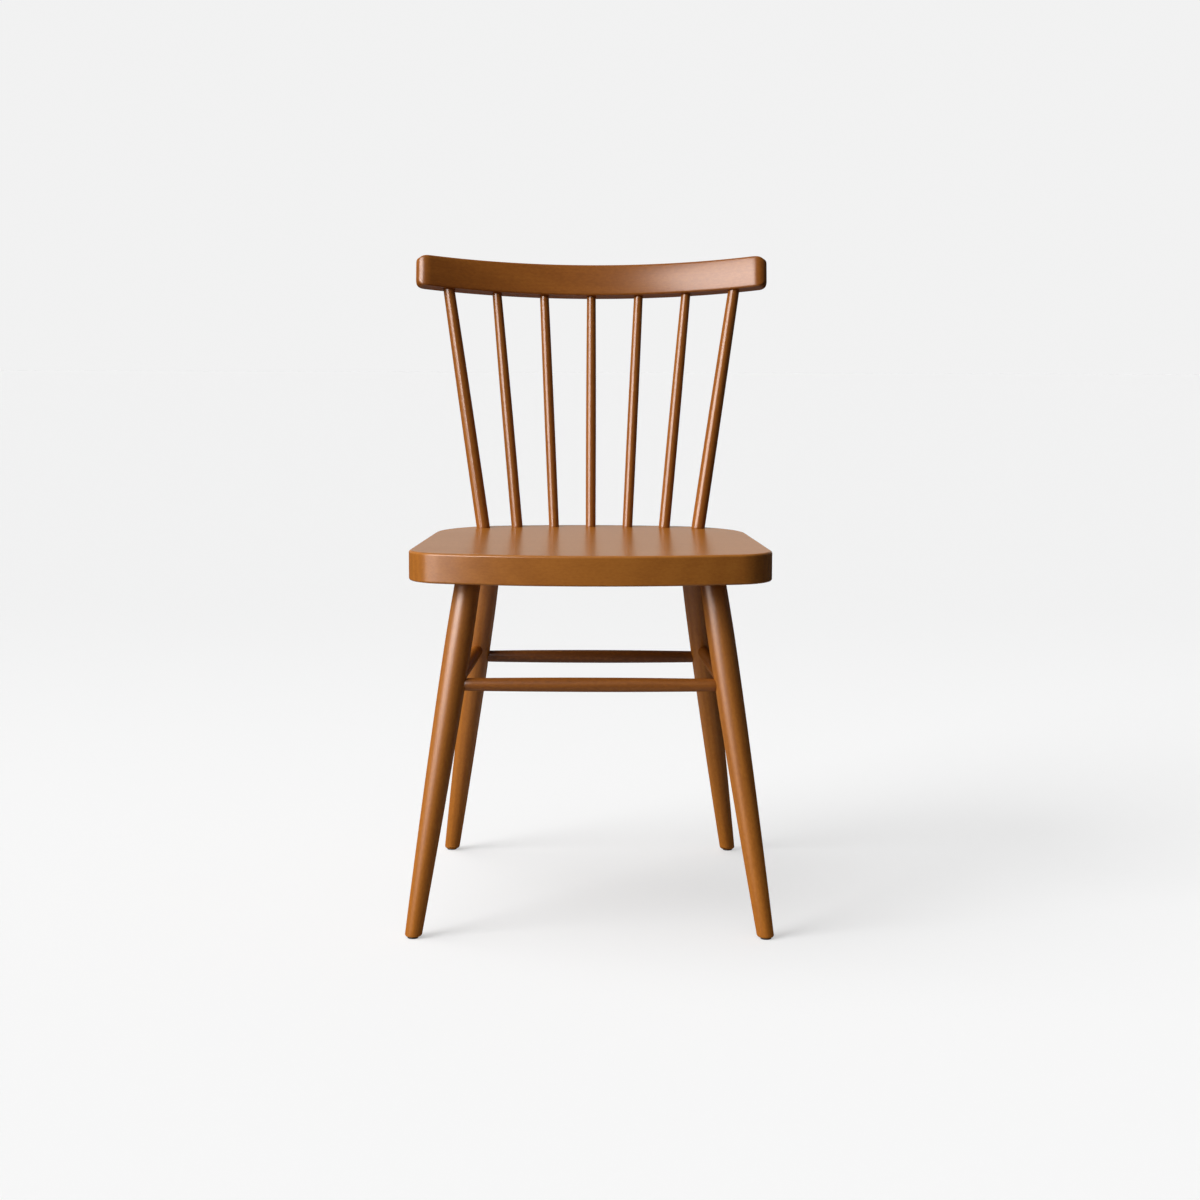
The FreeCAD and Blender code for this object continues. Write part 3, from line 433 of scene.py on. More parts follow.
def wood_material(kind):
    """Brown-stained hardwood under the satin lacquer of one kind of piece: seat, crest, stick or turned.

    The grain follows each piece's own length.
    """
    name = "stained_wood_" + kind
    if name in bpy.data.materials:
        return bpy.data.materials[name]
    finish = bpy.context.scene.chair_wood
    material, bench = new_material(name)
    grain = bench.attribute("grain", "Vector")
    edge, joint, depth, coat = (bench.attribute(name) for name in ("edge", "joint", "depth", "lacquer"))

    waver = bench.noise(grain, (9.0, 9.0, 2.2), 2.0)
    fibre = bench.noise(grain, (820.0, 820.0, 13.0), 3.0, 0.6)
    streak = bench.noise(grain, (150.0, 150.0, 3.5), 2.0)
    pore = bench.noise(grain, (2100.0, 2100.0, 95.0), 1.0)
    blotch = bench.noise(grain, (17.0, 17.0, 6.0), 3.0)
    mottle = bench.noise(grain, (430.0, 430.0, 210.0), 2.0)
    across, _, _ = bench.parts(grain)
    rings = across * RING_EDGES + waver * RING_WAVER
    figure = bench.add("ShaderNodeMath", {"operation": "PINGPONG"}, {0: rings, 1: 1.0})

    tone = bench.step(figure, 0.1, 0.95) * finish.figure
    tone = tone + (fibre - 0.5) * finish.fibre + (streak - 0.5) * finish.fibre
    tone = tone + (blotch - 0.5) * finish.blotch + (mottle - 0.5) * finish.mottle
    # Paler on eased edges (painted highlight on the seat, wear on the feet); darker by depth (stain, and
    # painted shade from the seat on the stretchers)
    tone = tone + edge * finish.edge_wear_and_highlight - depth - 0.5 * finish.figure
    stains = [opaque(stain) for stain in (finish.deep_stain_and_shadow, finish.dark, finish.mid, finish.light)]
    base = bench.add(
        "ShaderNodeValToRGB",
        {"stops": [(index / 3, stain) for index, stain in enumerate(stains)]},
        {"Fac": (tone + 1) * (2 / 3)},
    )
    pits = bench.step(pore, 0.64, 0.74)
    # Darker in the pores, at the joints, and painted shade along the crest rail's long edges
    darkening = pits * finish.pores + joint * finish.joint_darkening_and_edge_shade
    base = bench.blend(darkening, base, opaque(finish.dark))

    roughness = finish.roughness + (fibre - 0.5) * 0.1 + (blotch - 0.5) * 0.08 + pits * 0.08 - edge * 0.04
    relief = fibre * 0.6 + streak * 0.4 - pits * 0.7
    bump = bench.add(
        "ShaderNodeBump", None, {"Strength": finish.relief, "Distance": 0.0004, "Height": relief}
    )
    weight, coat_roughness = getattr(finish, kind)
    lacquer = coat * weight * (1 + (blotch - 0.5) * 0.12 - pits * 0.16)
    if kind != "seat":
        facing = bench.add("ShaderNodeLayerWeight", None, {"Blend": 0.5}, output="Facing")
        lacquer = lacquer * (1 - bench.step(facing, 0.4, 0.8) * finish.rim)
    bench.principled({
        "Base Color": base,
        "Roughness": roughness,
        "Normal": bump,
        "Specular IOR Level": 0.0,
        "Coat Weight": lacquer,
        "Coat Roughness": coat_roughness,
        "Coat IOR": finish.index,
    })
    return material


def glide_material():
    """Dark moulded plastic with a fine matte texture."""
    material, bench = new_material("glide_plastic_matte")
    place = bench.place("Object")
    speck = bench.noise(place, (2600.0, 2600.0, 2600.0), 2.0)
    scuff = bench.noise(place, (240.0, 900.0, 240.0), 3.0)
    base = bench.blend(bench.step(scuff, 0.45, 0.75), (0.018, 0.015, 0.013, 1.0), (0.055, 0.047, 0.04, 1.0))
    bump = bench.add("ShaderNodeBump", None, {"Strength": 0.2, "Distance": 0.0002, "Height": speck})
    bench.principled({"Base Color": base, "Roughness": 0.5 + speck * 0.2, "Normal": bump})
    return material


def nail_material():
    """Drawn steel wire with fine lengthwise lines."""
    material, bench = new_material("nail_steel_drawn")
    place = bench.place("Object")
    line = bench.noise(place, (4000.0, 4000.0, 60.0), 2.0)
    base = bench.blend(line, (0.38, 0.37, 0.36, 1.0), (0.6, 0.6, 0.61, 1.0))
    bench.principled({"Base Color": base, "Metallic": 1.0, "Roughness": 0.25 + line * 0.2})
    return material


def near(distance, reach):
    """1 at a joint, falling to 0 within a few times the reach."""
    return exp(-max(distance, 0.0) / reach)


class Line:
    """The axis of a turned piece, from its low end to its high end."""

    def __init__(self, low, high):
        self.low = Vector(low)
        self.high = Vector(high)
        self.run = self.high - self.low
        self.span = self.run.length
        turn = UP.rotation_difference(self.run).to_matrix().to_4x4()
        self.place = Matrix.Translation(self.low) @ turn
        self.home = self.place.inverted()

    def at_height(self, height):
        """The point on the axis at a height above the floor."""
        return self.low + self.run * (height - self.low.z) / self.run.z

    def local(self, point):
        """A point in the piece's own space, with Z along the axis."""
        return self.home @ point

    def near_ends(self, entry, reach):
        """A function that tells how near a point is to the joints, each an entry's length from its end."""
        def at_joint(point):
            along = self.local(point).z
            return max(near(along - entry, reach), near(self.span - entry - along, reach))

        return at_joint


def swell(along, belly_at, end_at, belly, end, power=2.0):
    """Diameter at a place between the belly and one end."""
    return belly - (belly - end) * abs((along - belly_at) / (end_at - belly_at)) ** power


def spaced(low, high, count):
    """Evenly spaced places from low to high, both included."""
    return [low + (high - low) * index / count for index in range(count + 1)]


def swelled(low, belly_at, high, diameters, steps, power=2.0):
    """The (place, diameter) pairs of a blank that thins from its belly to both ends, low end first."""
    foot, belly, top = diameters
    lower, upper = spaced(low, belly_at, steps[0]), spaced(belly_at, high, steps[1])[1:]
    return [
        *((along, swell(along, belly_at, low, belly, foot, power)) for along in lower),
        *((along, swell(along, belly_at, high, belly, top, power)) for along in upper),
    ]


def turned(profile, steps, place):
    """A closed solid of revolution in its place, from (place, diameter) pairs along its own Z."""
    bm = bmesh.new()
    outline = [(profile[0][0], 0.0), *profile, (profile[-1][0], 0.0)]
    points = [bm.verts.new((diameter / 2, 0, along)) for along, diameter in outline]
    edges = [bm.edges.new(pair) for pair in zip(points, points[1:])]
    bmesh.ops.spin(
        bm, geom=points + edges, cent=(0, 0, 0), axis=UP, dvec=(0, 0, 0),
        angle=FULL_TURN, steps=steps, use_merge=True,
    )
    bmesh.ops.remove_doubles(bm, verts=bm.verts, dist=SAME_POINT)
    bmesh.ops.recalc_face_normals(bm, faces=bm.faces)
    bmesh.ops.transform(bm, matrix=place, verts=bm.verts)
    return bm


def ease(bm, geom, radius, segments, affect="EDGES"):
    """Rounds edges, or the corners of a flat outline."""
    bmesh.ops.bevel(
        bm, geom=geom, offset=radius, offset_type="OFFSET", segments=segments, profile=0.5,
        affect=affect, material=-1, clamp_overlap=False,
    )


def edges_at(bm, level):
    """The edges that lie level at a height."""
    return [e for e in bm.edges if all(abs(v.co.z - level) < SAME_PLACE for v in e.verts)]


def only(kind, items):
    """The items of one kind."""
    return [item for item in items if isinstance(item, kind)]


def always(value):
    """A function that gives the same share at every point."""
    return lambda point: value


def in_pale_band(place, limits):
    """1 between two limits of an eased edge, otherwise 0."""
    return 1.0 if limits[0] < place < limits[1] else 0.0


def finish_piece(bm, node, material, weighted=True):
    """Makes the piece's object in place of its CAD node."""
    for face in bm.faces:
        face.smooth = True
    mesh = bpy.data.meshes.new(node + "_dressed")
    bm.to_mesh(mesh)
    bm.free()
    piece = bpy.data.objects.new(node + "_dressed", mesh)
    bpy.context.scene.collection.objects.link(piece)
    piece.data.materials.append(material)
    if weighted:
        normals = piece.modifiers.new("even_shading", "WEIGHTED_NORMAL")
        normals.mode = "FACE_AREA"
        normals.weight = 50
    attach(piece, BODY)
    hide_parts(node)


def finish_wood(
    bm, node, kind, grain_of, joint_of=always(0.0), edge_of=always(0.0), lacquer_of=always(1.0),
    depth=0.0, weighted=True,
):
    """Gives a wooden piece the values that its stain and lacquer read, and makes its object.

    The functions take a point and give its place in the grain's own space, how near a joint it is, or on
    the crest rail how near a long edge with painted shade, how much it stands on a paler eased edge, which
    is a painted highlight on the seat and wear on the feet, and its share of the lacquer.
    """
    number = len(bpy.data.objects)
    shift = Vector([number * step for step in GRAIN_SHIFT])
    grain = bm.verts.layers.float_vector.new("grain")
    joint, edge, stain, lacquer = (
        bm.verts.layers.float.new(name) for name in ("joint", "edge", "depth", "lacquer")
    )
    for vert in bm.verts:
        vert[grain] = grain_of(vert.co) + shift
        vert[joint] = joint_of(vert.co)
        vert[edge] = edge_of(vert.co)
        # Depth: how much darker the piece is, stain and on the stretchers painted shade from the seat
        vert[stain] = depth
        vert[lacquer] = lacquer_of(vert.co)
    finish_piece(bm, node, wood_material(kind), weighted)


def seat_edges(sizes):
    """Front and back edge of the seat on the middle line."""
    return -sizes.front_reach, sizes.depth - sizes.front_reach


def crest_start(seat, back):
    """How far back the crest rail's underside is on the middle line."""
    _, back_edge = seat_edges(seat)
    return back_edge - back.spindle_inset + (back.crest_bottom - seat.height) * tan(back.lean)


def stick_lines():
    """Name, axis, three diameters and belly rise of each stick of the back."""
    seat = bpy.context.scene.chair_seat
    back = bpy.context.scene.chair_back
    _, back_edge = seat_edges(seat)
    row_centre = back_edge - seat.back_bow
    row = seat.back_bow - back.spindle_inset
    rows = [("back_post_left", -1, back.spread, back.post)]
    names = ("spindle_left_2", "spindle_left_1", "spindle_centre", "spindle_right_1", "spindle_right_2")
    for step, name in enumerate(names, start=-2):
        kind = back.side if abs(step) == 2 else back.inner
        rows.append((name, step, back.pitch, kind))
    rows.append(("back_post_right", 1, back.spread, back.post))
    found = []
    for name, step, places, kind in rows:
        base_x, top_x = (step * place for place in places)
        setback = back.crest_bend - sqrt(back.crest_bend ** 2 - top_x ** 2)
        base = (base_x, row_centre + sqrt(row ** 2 - base_x ** 2), seat.height)
        top = (
            top_x,
            crest_start(seat, back) - setback * cos(back.lean),
            back.crest_bottom + setback * sin(back.lean),
        )
        found.append((name, Line(base, top), kind))
    return found


def leg_lines():
    """The axis of each leg, from the floor to the underside of the seat."""
    seat = bpy.context.scene.chair_seat
    legs = bpy.context.scene.chair_legs
    front_edge, back_edge = seat_edges(seat)
    underside = seat.height - seat.thickness
    found = {}
    for end, edge, out in (("front", front_edge, -1), ("rear", back_edge, 1)):
        foot, top = getattr(legs, end + "_gap")
        reach, inset = getattr(legs, end + "_set")
        for side, way in SIDES.items():
            low = (way * foot / 2, edge + out * reach, 0)
            high = (way * top / 2, edge - out * inset, underside)
            found[f"{end}_{side}"] = Line(low, high)
    return found


def stretcher_lines():
    """The axis of each stretcher, from the middle of one leg to the middle of the other."""
    legs = bpy.context.scene.chair_legs
    axes = leg_lines()
    ties = {
        "stretcher_front": ("front_left", "front_right", legs.front_stretcher),
        "stretcher_rear": ("rear_left", "rear_right", legs.rear_stretcher),
        "stretcher_left": ("front_left", "rear_left", legs.side_stretcher),
        "stretcher_right": ("front_right", "rear_right", legs.side_stretcher),
    }
    return {
        name: Line(axes[first].at_height(height), axes[second].at_height(height))
        for name, (first, second, height) in ties.items()
    }


def seat_corner(side_point, along, inward, radius, bow_centre, bow, sign):
    """Centre of a corner's arc, tangent inside the bow and to the seat's straight side."""
    start = side_point + inward * radius - bow_centre
    half = start.dot(along)
    reach = half * half - start.length_squared + (bow - radius) ** 2
    return side_point + inward * radius + along * (sign * sqrt(reach) - half)


def walk_arc(bm, vert, centre, swing, steps):
    """Carries on an outline from a vertex round a centre, and gives its new end."""
    made = bmesh.ops.spin(
        bm, geom=[vert], cent=(centre.x, centre.y, vert.co.z), axis=UP, dvec=(0, 0, 0),
        angle=swing, steps=steps,
    )
    return only(bmesh.types.BMVert, made["geom_last"])[0]


def turn_from(centre, point):
    """Direction of a point as seen from a centre."""
    return atan2(point.y - centre.y, point.x - centre.x)


class CHAIR_OT_seat(Operator):
    """Builds the seat slab with its bowed front and back and its eased edges"""

    bl_idname = "chair.build_seat"
    bl_label = "Seat"

    def execute(self, context):
        sizes = context.scene.chair_seat
        front_edge, back_edge = seat_edges(sizes)
        front_centre = Vector((0, front_edge + sizes.front_bow, 0))
        back_centre = Vector((0, back_edge - sizes.back_bow, 0))
        front_half = sizes.front_width / 2
        back_half = sizes.back_width / 2
        front_run = sqrt(sizes.front_bow ** 2 - front_half ** 2)
        back_run = sqrt(sizes.back_bow ** 2 - back_half ** 2)
        front_point = Vector((front_half, front_centre.y - front_run, 0))
        back_point = Vector((back_half, back_centre.y + back_run, 0))
        along = (back_point - front_point).normalized()
        inward = Vector((-along.y, along.x, 0))
        side = (front_point, along, inward)
        front_arc = seat_corner(*side, sizes.front_corner, front_centre, sizes.front_bow, -1)
        back_arc = seat_corner(*side, sizes.back_corner, back_centre, sizes.back_bow, 1)

        bm = bmesh.new()
        front_turn = turn_from(front_centre, front_arc)
        side_turn = atan2(-inward.y, -inward.x)
        back_turn = turn_from(back_centre, back_arc)
        underside = sizes.height - sizes.thickness
        vert = bm.verts.new((0, front_edge, underside))
        vert = walk_arc(bm, vert, front_centre, front_turn + pi / 2, FRONT_BOW_STEPS)
        vert = walk_arc(bm, vert, front_arc, side_turn - front_turn, FRONT_CORNER_STEPS)
        vert = bmesh.ops.extrude_vert_indiv(bm, verts=[vert])["verts"][0]
        vert.co = back_arc - inward * sizes.back_corner + UP * underside
        vert = walk_arc(bm, vert, back_arc, back_turn - side_turn, BACK_CORNER_STEPS)
        walk_arc(bm, vert, back_centre, pi / 2 - back_turn, BACK_BOW_STEPS)
        outline = bm.verts[:] + bm.edges[:]
        bmesh.ops.mirror(bm, geom=outline, matrix=Matrix.Identity(4), merge_dist=SAME_PLACE, axis="X")
        bmesh.ops.remove_doubles(bm, verts=bm.verts, dist=SAME_PLACE)
        bottom = bmesh.ops.contextual_create(bm, geom=bm.edges[:])["faces"]
        raised = only(bmesh.types.BMVert, bmesh.ops.extrude_face_region(bm, geom=bottom)["geom"])
        bmesh.ops.translate(bm, vec=(0, 0, sizes.thickness), verts=raised)
        bmesh.ops.recalc_face_normals(bm, faces=bm.faces)
        for level, radius in ((sizes.height, sizes.top_round), (underside, sizes.bottom_round)):
            ease(bm, edges_at(bm, level), radius, SEAT_EASE_STEPS)
        finish_wood(
            bm, "seat", "seat", grain_of=lambda point: Vector((point.y, point.z, point.x)),
            # Paler band on the seat's top rounding: a painted highlight
            edge_of=lambda point: in_pale_band((sizes.height - point.z) / sizes.top_round, SEAT_EDGE_HIGHLIGHT),
            depth=STAIN_AND_SHADE_DEPTH["seat"],
        )
        return {"FINISHED"}


def end_loss(place, reach, depth, power=2.0):
    """How far an end rounded over a reach falls short at a place measured from its tip."""
    if place >= reach:
        return 0.0
    return depth - depth * (1 - (1 - place / reach) ** power) ** (1 / power)


class CHAIR_OT_crest(Operator):
    """Builds the bent crest rail with its rounded ends"""

    bl_idname = "chair.build_crest"
    bl_label = "Crest rail"

    def execute(self, context):
        seat = context.scene.chair_seat
        back = context.scene.chair_back
        half_angle = asin(back.crest_chord / 2 / back.crest_bend)
        whole = 2 * half_angle * back.crest_bend
        tip = back.crest_end_roll
        turns = [tip * (1 - cos(turn)) for turn in spaced(0.0, pi / 2, CREST_END_STEPS)[1:]]
        places = [0.0, *turns, *spaced(tip, whole - tip, CREST_STEPS)[1:-1]]
        places += [whole - place for place in [*reversed(turns), 0.0]]

        def section(place):
            swing = place / back.crest_bend - half_angle
            from_end = min(place, whole - place)
            thin = 1 - 2 * end_loss(from_end, tip, back.crest_end_round) / back.crest_thickness
            low = 1 - 2 * end_loss(from_end, tip, back.crest_corner, back.crest_square) / back.crest_height
            out = Vector((sin(swing), cos(swing), 0))
            ahead = Vector((cos(swing), -sin(swing), 0))
            matrix = Matrix((out * thin, UP * low, ahead)).transposed().to_4x4()
            spot = Vector((0, -back.crest_bend, back.crest_height / 2)) + out * back.crest_bend
            return Matrix.Translation(spot) @ matrix

        def in_front(vert):
            return vert.co.x < -FRONT_FACE * back.crest_thickness

        bm = bmesh.new()
        bmesh.ops.create_grid(bm, x_segments=1, y_segments=1, size=0.5)
        bmesh.ops.scale(bm, vec=(back.crest_thickness, back.crest_height, 1), verts=bm.verts)
        ease(bm, bm.verts[:], back.crest_edge_round, CREST_EASE_STEPS, affect="VERTICES")
        front = [e for e in bm.edges if all(in_front(v) for v in e.verts)]
        bmesh.ops.subdivide_edges(bm, edges=front, cuts=CREST_FACE_CUTS)
        flat = back.crest_height / 2 - back.crest_edge_round
        for vert in filter(in_front, bm.verts):
            vert.co.x -= back.crest_crown * (1 - (vert.co.y / flat) ** 2)
        present = section(places[0])
        bmesh.ops.transform(bm, matrix=present, verts=bm.verts)
        cap = bm.faces[:]
        inside = []
        for place in places[1:]:
            grown = bmesh.ops.extrude_face_region(bm, geom=cap)["geom"]
            following = section(place)
            moved = only(bmesh.types.BMVert, grown)
            bmesh.ops.transform(bm, matrix=following @ present.inverted(), verts=moved)
            cap = only(bmesh.types.BMFace, grown)
            inside += cap
            present = following
        bmesh.ops.delete(bm, geom=inside[:-1], context="FACES_ONLY")
        bmesh.ops.recalc_face_normals(bm, faces=bm.faces)
        spot = Matrix.Translation((0, crest_start(seat, back), back.crest_bottom))
        place = spot @ Matrix.Rotation(-back.lean, 4, "X")
        bmesh.ops.transform(bm, matrix=place, verts=bm.verts)
        home = place.inverted()

        def unbent(point):
            local = home @ point
            swing = atan2(local.x, local.y + back.crest_bend)
            out = hypot(local.x, local.y + back.crest_bend) - back.crest_bend
            return Vector((out, local.z, swing * back.crest_bend))

        # Darker along the rail's long edges: painted shade
        def painted_edge_shade(point):
            spot = unbent(point)
            from_edge = min(spot.y, back.crest_height - spot.y)
            return CREST_PAINTED_EDGE_SHADE * near(from_edge, back.crest_edge_round / 2)

        finish_wood(
            bm, "crest_rail", "crest", grain_of=unbent, joint_of=painted_edge_shade, depth=STAIN_AND_SHADE_DEPTH["crest"]
        )
        return {"FINISHED"}


class CHAIR_OT_sticks(Operator):
    """Builds the outer posts and the spindles of the back"""

    bl_idname = "chair.build_sticks"
    bl_label = "Posts and spindles"

    def execute(self, context):
        sunk = context.scene.chair_back.sunk
        for name, line, (*diameters, rise) in stick_lines():
            profile = [
                (-sunk, diameters[0]),
                *swelled(0.0, rise, line.span, diameters, STICK_STEPS),
                (line.span + sunk, diameters[-1]),
            ]
            finish_wood(
                turned(profile, TURN_STEPS, line.place), name, "stick", grain_of=line.local,
                joint_of=line.near_ends(0.0, STICK_JOINT), depth=STAIN_AND_SHADE_DEPTH["stick"], weighted=False,
            )
        return {"FINISHED"}


class CHAIR_OT_pegs(Operator):
    """Builds the pegs that lock the crest rail to the outer posts"""

    bl_idname = "chair.build_pegs"
    bl_label = "Crest pegs"

    def execute(self, context):
        back = context.scene.chair_back
        posts = {name: line for name, line, _ in stick_lines()}
        both = bmesh.new()
        lines = {}
        for side, way in SIDES.items():
            post = posts[f"back_post_{side}"]
            swing = asin(way * back.spread[1] / back.crest_bend)
            out = Vector((
                sin(swing),
                cos(swing) * cos(back.lean),
                -cos(swing) * sin(back.lean),
            ))
            middle = post.low + post.run * (post.span + back.peg_rise) / post.span
            line = Line(middle, middle + out * back.crest_thickness / 2)
            profile = [(0.0, back.peg)]
            profile += [(line.span + back.peg_dome * rise, back.peg * width) for rise, width in PEG_END]
            bm = turned(profile, PEG_STEPS, line.place)
            mesh = bpy.data.meshes.new("peg")
            bm.to_mesh(mesh)
            bm.free()
            both.from_mesh(mesh)
            bpy.data.meshes.remove(mesh)
            lines[way] = line

        def along_peg(point):
            return lines[copysign(1, point.x)].local(point)

        def at_rim(point):
            local = along_peg(point)
            return near(back.peg / 2 - hypot(local.x, local.y), PEG_JOINT)

        finish_wood(both, "crest_pegs", "turned", grain_of=along_peg, joint_of=at_rim, weighted=False)
        return {"FINISHED"}


class CHAIR_OT_legs(Operator):
    """Builds the turned legs, cut level at the floor and at the seat"""

    bl_idname = "chair.build_legs"
    bl_label = "Legs"

    def execute(self, context):
        sizes = context.scene.chair_legs
        seat = context.scene.chair_seat
        underside = seat.height - seat.thickness
        diameters = (sizes.belly - sizes.foot_taper, sizes.belly, sizes.belly - sizes.top_taper)

        for place, line in leg_lines().items():
            belly_at = line.span - sizes.belly_drop
            high = line.span + sizes.overrun
            profile = swelled(
                -sizes.overrun, belly_at, high, diameters, LEG_FALL_STEPS, sizes.fall_power
            )
            bm = turned(profile, LEG_STEPS, line.place)
            for level, way in ((sizes.glide_thickness, -1), (underside, 1)):
                everything = bm.verts[:] + bm.edges[:] + bm.faces[:]
                bmesh.ops.bisect_plane(
                    bm, geom=everything, dist=SAME_POINT, plane_co=(0, 0, level), plane_no=(0, 0, way),
                    clear_outer=True,
                )
                bmesh.ops.holes_fill(bm, edges=[e for e in bm.edges if e.is_boundary], sides=0)
            ease(bm, edges_at(bm, sizes.glide_thickness), sizes.foot_chamfer, FOOT_EASE_STEPS)
            bmesh.ops.recalc_face_normals(bm, faces=bm.faces)
            finish_wood(
                bm, f"leg_{place}", "turned", grain_of=line.local, depth=STAIN_AND_SHADE_DEPTH["leg"],
                joint_of=lambda point: near(underside - point.z, LEG_JOINT),
                edge_of=lambda point: in_pale_band(
                    (point.z - sizes.glide_thickness) / sizes.foot_chamfer, FOOT_WEAR
                ),
                lacquer_of=lambda point: FOOT_LACQUER + (1 - FOOT_LACQUER) * point.z / underside,
            )
        return {"FINISHED"}


class CHAIR_OT_stretchers(Operator):
    """Builds the swelled stretchers between the legs"""

    bl_idname = "chair.build_stretchers"
    bl_label = "Stretchers"

    def execute(self, context):
        sizes = context.scene.chair_legs
        diameters = (sizes.stretcher_end, sizes.stretcher, sizes.stretcher_end)
        entry = sizes.belly / 2
        for name, line in stretcher_lines().items():
            profile = [
                (sizes.stretcher_setback, sizes.stretcher_tip),
                *swelled(entry, line.span / 2, line.span - entry, diameters, STRETCHER_STEPS),
                (line.span - sizes.stretcher_setback, sizes.stretcher_tip),
            ]
            finish_wood(
                turned(profile, TURN_STEPS, line.place), name, "turned", grain_of=line.local,
                joint_of=line.near_ends(entry, LEG_JOINT), lacquer_of=always(STRETCHER_LACQUER),
                # Stretchers darker than their stain alone: painted shade from the seat, the rear one almost
                # fully in painted shadow
                depth=STAIN_AND_SHADE_DEPTH.get(name, STAIN_AND_SHADE_DEPTH["stretcher"]), weighted=False,
            )
        return {"FINISHED"}


class CHAIR_OT_glides(Operator):
    """Builds the disc under each foot and finishes the nails that hold them"""

    bl_idname = "chair.build_glides"
    bl_label = "Glides and nails"

    def execute(self, context):
        sizes = context.scene.chair_legs
        plastic = glide_material()
        profile = [
            (sizes.glide_chamfer * rise, sizes.glide - 2 * sizes.glide_chamfer * loss)
            for rise, loss in GLIDE_EASE
        ]
        profile.append((sizes.glide_thickness, sizes.glide))
        for place, line in leg_lines().items():
            bm = turned(profile, TURN_STEPS, Matrix.Translation(line.low))
            finish_piece(bm, f"glide_{place}", plastic)
        nails = frame["nodes"]["glide_nails"]
        steel = nail_material()
        for slot in nails.material_slots:
            slot.material = steel
        return {"FINISHED"}


def add_floor():
    """The studio's level floor sheet."""
    bm = bmesh.new()
    bmesh.ops.create_grid(bm, x_segments=1, y_segments=1, size=FLOOR_SIZE / 2)
    mesh = bpy.data.meshes.new("floor")
    bm.to_mesh(mesh)
    bm.free()
    sheet = bpy.data.objects.new("floor", mesh)
    bpy.context.scene.collection.objects.link(sheet)
    return sheet


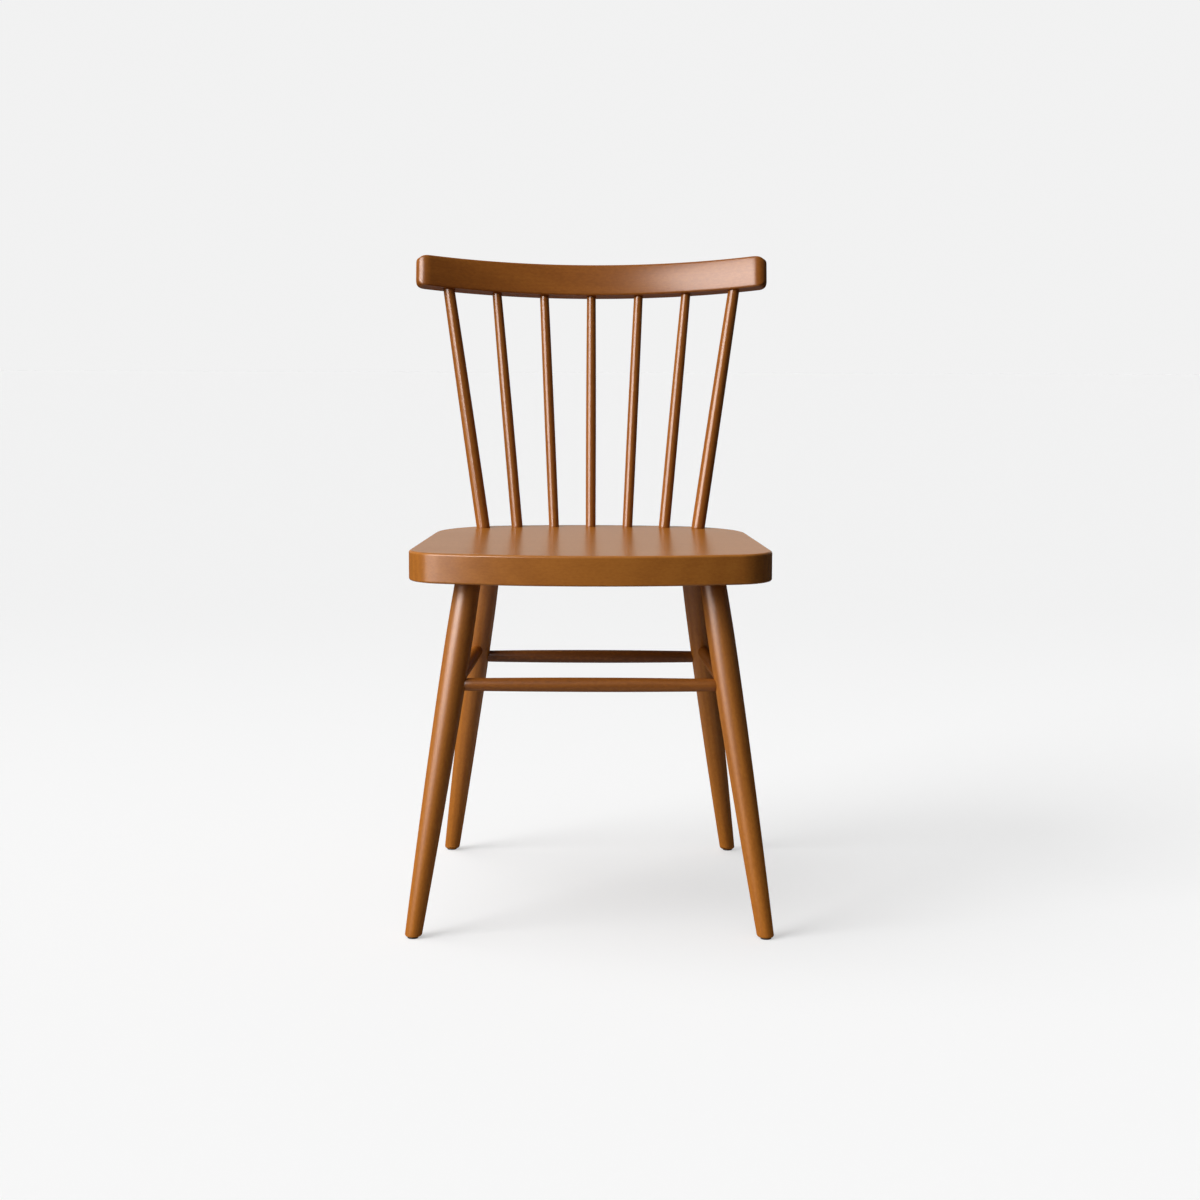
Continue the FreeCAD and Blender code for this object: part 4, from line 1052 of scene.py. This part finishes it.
class CHAIR_OT_stage(Operator):
    """Sets up the floor, the backdrop, the lamps and the camera"""

    bl_idname = "chair.set_stage"
    bl_label = "Studio"

    def execute(self, context):
        scene = context.scene
        studio = scene.chair_studio
        self.make_floor(studio)
        self.make_world(scene, studio)
        for name in ("key", "top"):
            self.make_lamp(scene, studio, name)
        for name in ("sheen", "low"):
            self.make_box(scene, studio, name)
        self.make_camera(scene, studio)
        scene.view_settings.view_transform = "Standard"
        return {"FINISHED"}

    def make_floor(self, studio):
        """Bright paper under the chair that shows an even tone and keeps the shadow."""
        material, bench = new_material("floor_paper")
        place = bench.place("Object")
        across, back, _ = bench.parts(place)
        off_middle = across.math("ABSOLUTE", across, 0.0)
        seen = bench.seen()
        sheet = bench.step(back, *SHEET_BACK) * (1 - bench.step(off_middle, *SHEET_SIDE))
        mirrored = bench.rays("Glossy") * sheet * bench.step(back, *SHEET_MIRRORED)
        suns = studio.key * sin(studio.key_aim[1]) + studio.top * sin(studio.top_aim[1])
        fills = studio.fill + studio.fill_left * LEFT_ON_FLOOR + studio.fill_back * BACK_ON_FLOOR
        lit = suns / pi + fills
        away = bench.add("ShaderNodeVectorMath", {"operation": "LENGTH"}, {0: place}, output="Value")
        far = back.math("MAXIMUM", bench.step(back, *FADE_BACK), bench.step(away, *FADE_AWAY))
        tone = studio.floor + far * (studio.backdrop - studio.floor)
        glow_level = (seen + mirrored) * (tone - studio.paper * lit)
        glow = bench.add("ShaderNodeEmission", None, {"Color": WHITE, "Strength": glow_level})
        shades = [opaque((level, level, level)) for level in (DARK_PAPER, studio.paper)]
        paper_tone = bench.blend(seen.math("MAXIMUM", seen, sheet), *shades)
        paper = bench.add("ShaderNodeBsdfDiffuse", None, {"Color": paper_tone})
        surface = bench.add("ShaderNodeAddShader", None, {0: paper, 1: glow})
        bench.add("ShaderNodeOutputMaterial", None, {"Surface": surface})
        add_floor().data.materials.append(material)

    def make_world(self, scene, studio):
        """A plain backdrop, and weaker light from all round, the left and behind."""
        world = bpy.data.worlds.new("studio_air")
        world.use_nodes = True
        bench = Bench(world.node_tree)
        right, back, up = bench.parts(bench.place("Generated"))
        fill = studio.fill + (1 - bench.step(right, *FILL_RIGHT)) * studio.fill_left
        fill = fill + bench.step(back, *FILL_BACK) * studio.fill_back
        mirrored = bench.step(back, *MIRROR_AHEAD) * (1 - bench.step(up, *MIRROR_UP))
        mirrored = bench.rays("Glossy") * mirrored
        strength = fill + (bench.seen() + mirrored) * (studio.backdrop - fill)
        warmth = bench.blend(mirrored, WHITE, WARM_WHITE)
        air = bench.add("ShaderNodeBackground", None, {"Color": warmth, "Strength": strength})
        bench.add("ShaderNodeOutputWorld", None, {"Surface": air})
        scene.world = world

    def hang(self, scene, studio, name, lamp):
        """Turns a lamp to the chair, and gives its object and its direction from there."""
        side, rise = getattr(studio, name + "_aim")
        to_lamp = Vector((-sin(side), -cos(side), tan(rise)))
        holder = bpy.data.objects.new(name, lamp)
        holder.rotation_euler = to_lamp.to_track_quat("Z", "Y").to_euler()
        scene.collection.objects.link(holder)
        return holder, to_lamp

    def make_lamp(self, scene, studio, name):
        """A soft lamp that doesn't show in the lacquer."""
        lamp = bpy.data.lights.new(name, "SUN")
        lamp.energy = getattr(studio, name)
        lamp.angle = getattr(studio, name + "_size")
        holder, _ = self.hang(scene, studio, name, lamp)
        holder.visible_glossy = False

    def make_box(self, scene, studio, name):
        """A soft box that shows only in the lacquer."""
        lamp = bpy.data.lights.new(name, "AREA")
        lamp.shape = "RECTANGLE"
        lamp.size, lamp.size_y = getattr(studio, name + "_size")
        lamp.energy = getattr(studio, name)
        holder, to_lamp = self.hang(scene, studio, name, lamp)
        holder.location = to_lamp * getattr(studio, name + "_distance") + UP * scene.chair_seat.height
        holder.visible_diffuse = False
        holder.visible_camera = False

    def make_camera(self, scene, studio):
        """The camera in front of the chair, looking a little down."""
        data = bpy.data.cameras.new("camera")
        data.sensor_width = 36
        data.lens = studio.lens
        camera = bpy.data.objects.new("camera", data)
        spot = Matrix.Translation((0, -studio.camera_distance, studio.camera_height))
        pan = Matrix.Rotation(-studio.pan, 4, "Z")
        tilt = Matrix.Rotation(pi / 2 - studio.tilt, 4, "X")
        camera.matrix_world = spot @ pan @ tilt @ Matrix.Rotation(studio.roll, 4, "Z")
        scene.collection.objects.link(camera)
        scene.camera = camera


class CHAIR_PT_panel(bpy.types.Panel):
    """Lists the chair's pieces and sizes"""

    bl_idname = "CHAIR_PT_panel"
    bl_label = "Spindle-back chair"
    bl_space_type = "VIEW_3D"
    bl_region_type = "UI"
    bl_category = "Chair"

    def draw(self, context):
        layout = self.layout
        for operator in OPERATORS:
            layout.operator(operator.bl_idname)
        for name, group in GROUPS.items():
            box = layout.box()
            box.label(text=group.__doc__)
            for key in group.__annotations__:
                box.prop(getattr(context.scene, name), key)


GROUPS = {
    "chair_seat": SeatSizes,
    "chair_back": BackSizes,
    "chair_legs": LegSizes,
    "chair_wood": WoodFinish,
    "chair_studio": Studio,
}
OPERATORS = (
    CHAIR_OT_seat,
    CHAIR_OT_crest,
    CHAIR_OT_sticks,
    CHAIR_OT_pegs,
    CHAIR_OT_legs,
    CHAIR_OT_stretchers,
    CHAIR_OT_glides,
    CHAIR_OT_stage,
)


def register():
    """Adds the classes and the chair's settings."""
    for item in (*GROUPS.values(), *OPERATORS, CHAIR_PT_panel):
        bpy.utils.register_class(item)
    for name, group in GROUPS.items():
        setattr(bpy.types.Scene, name, PointerProperty(type=group))


def unregister():
    """Takes the classes and the settings away."""
    for name in GROUPS:
        delattr(bpy.types.Scene, name)
    for item in (CHAIR_PT_panel, *reversed(OPERATORS), *reversed(GROUPS.values())):
        bpy.utils.unregister_class(item)


def main():
    """Builds the chair and its studio."""
    register()
    bpy.ops.chair.build_seat()
    bpy.ops.chair.build_crest()
    bpy.ops.chair.build_sticks()
    bpy.ops.chair.build_pegs()
    bpy.ops.chair.build_legs()
    bpy.ops.chair.build_stretchers()
    bpy.ops.chair.build_glides()
    bpy.ops.chair.set_stage()


if __name__ == "__main__":
    main()
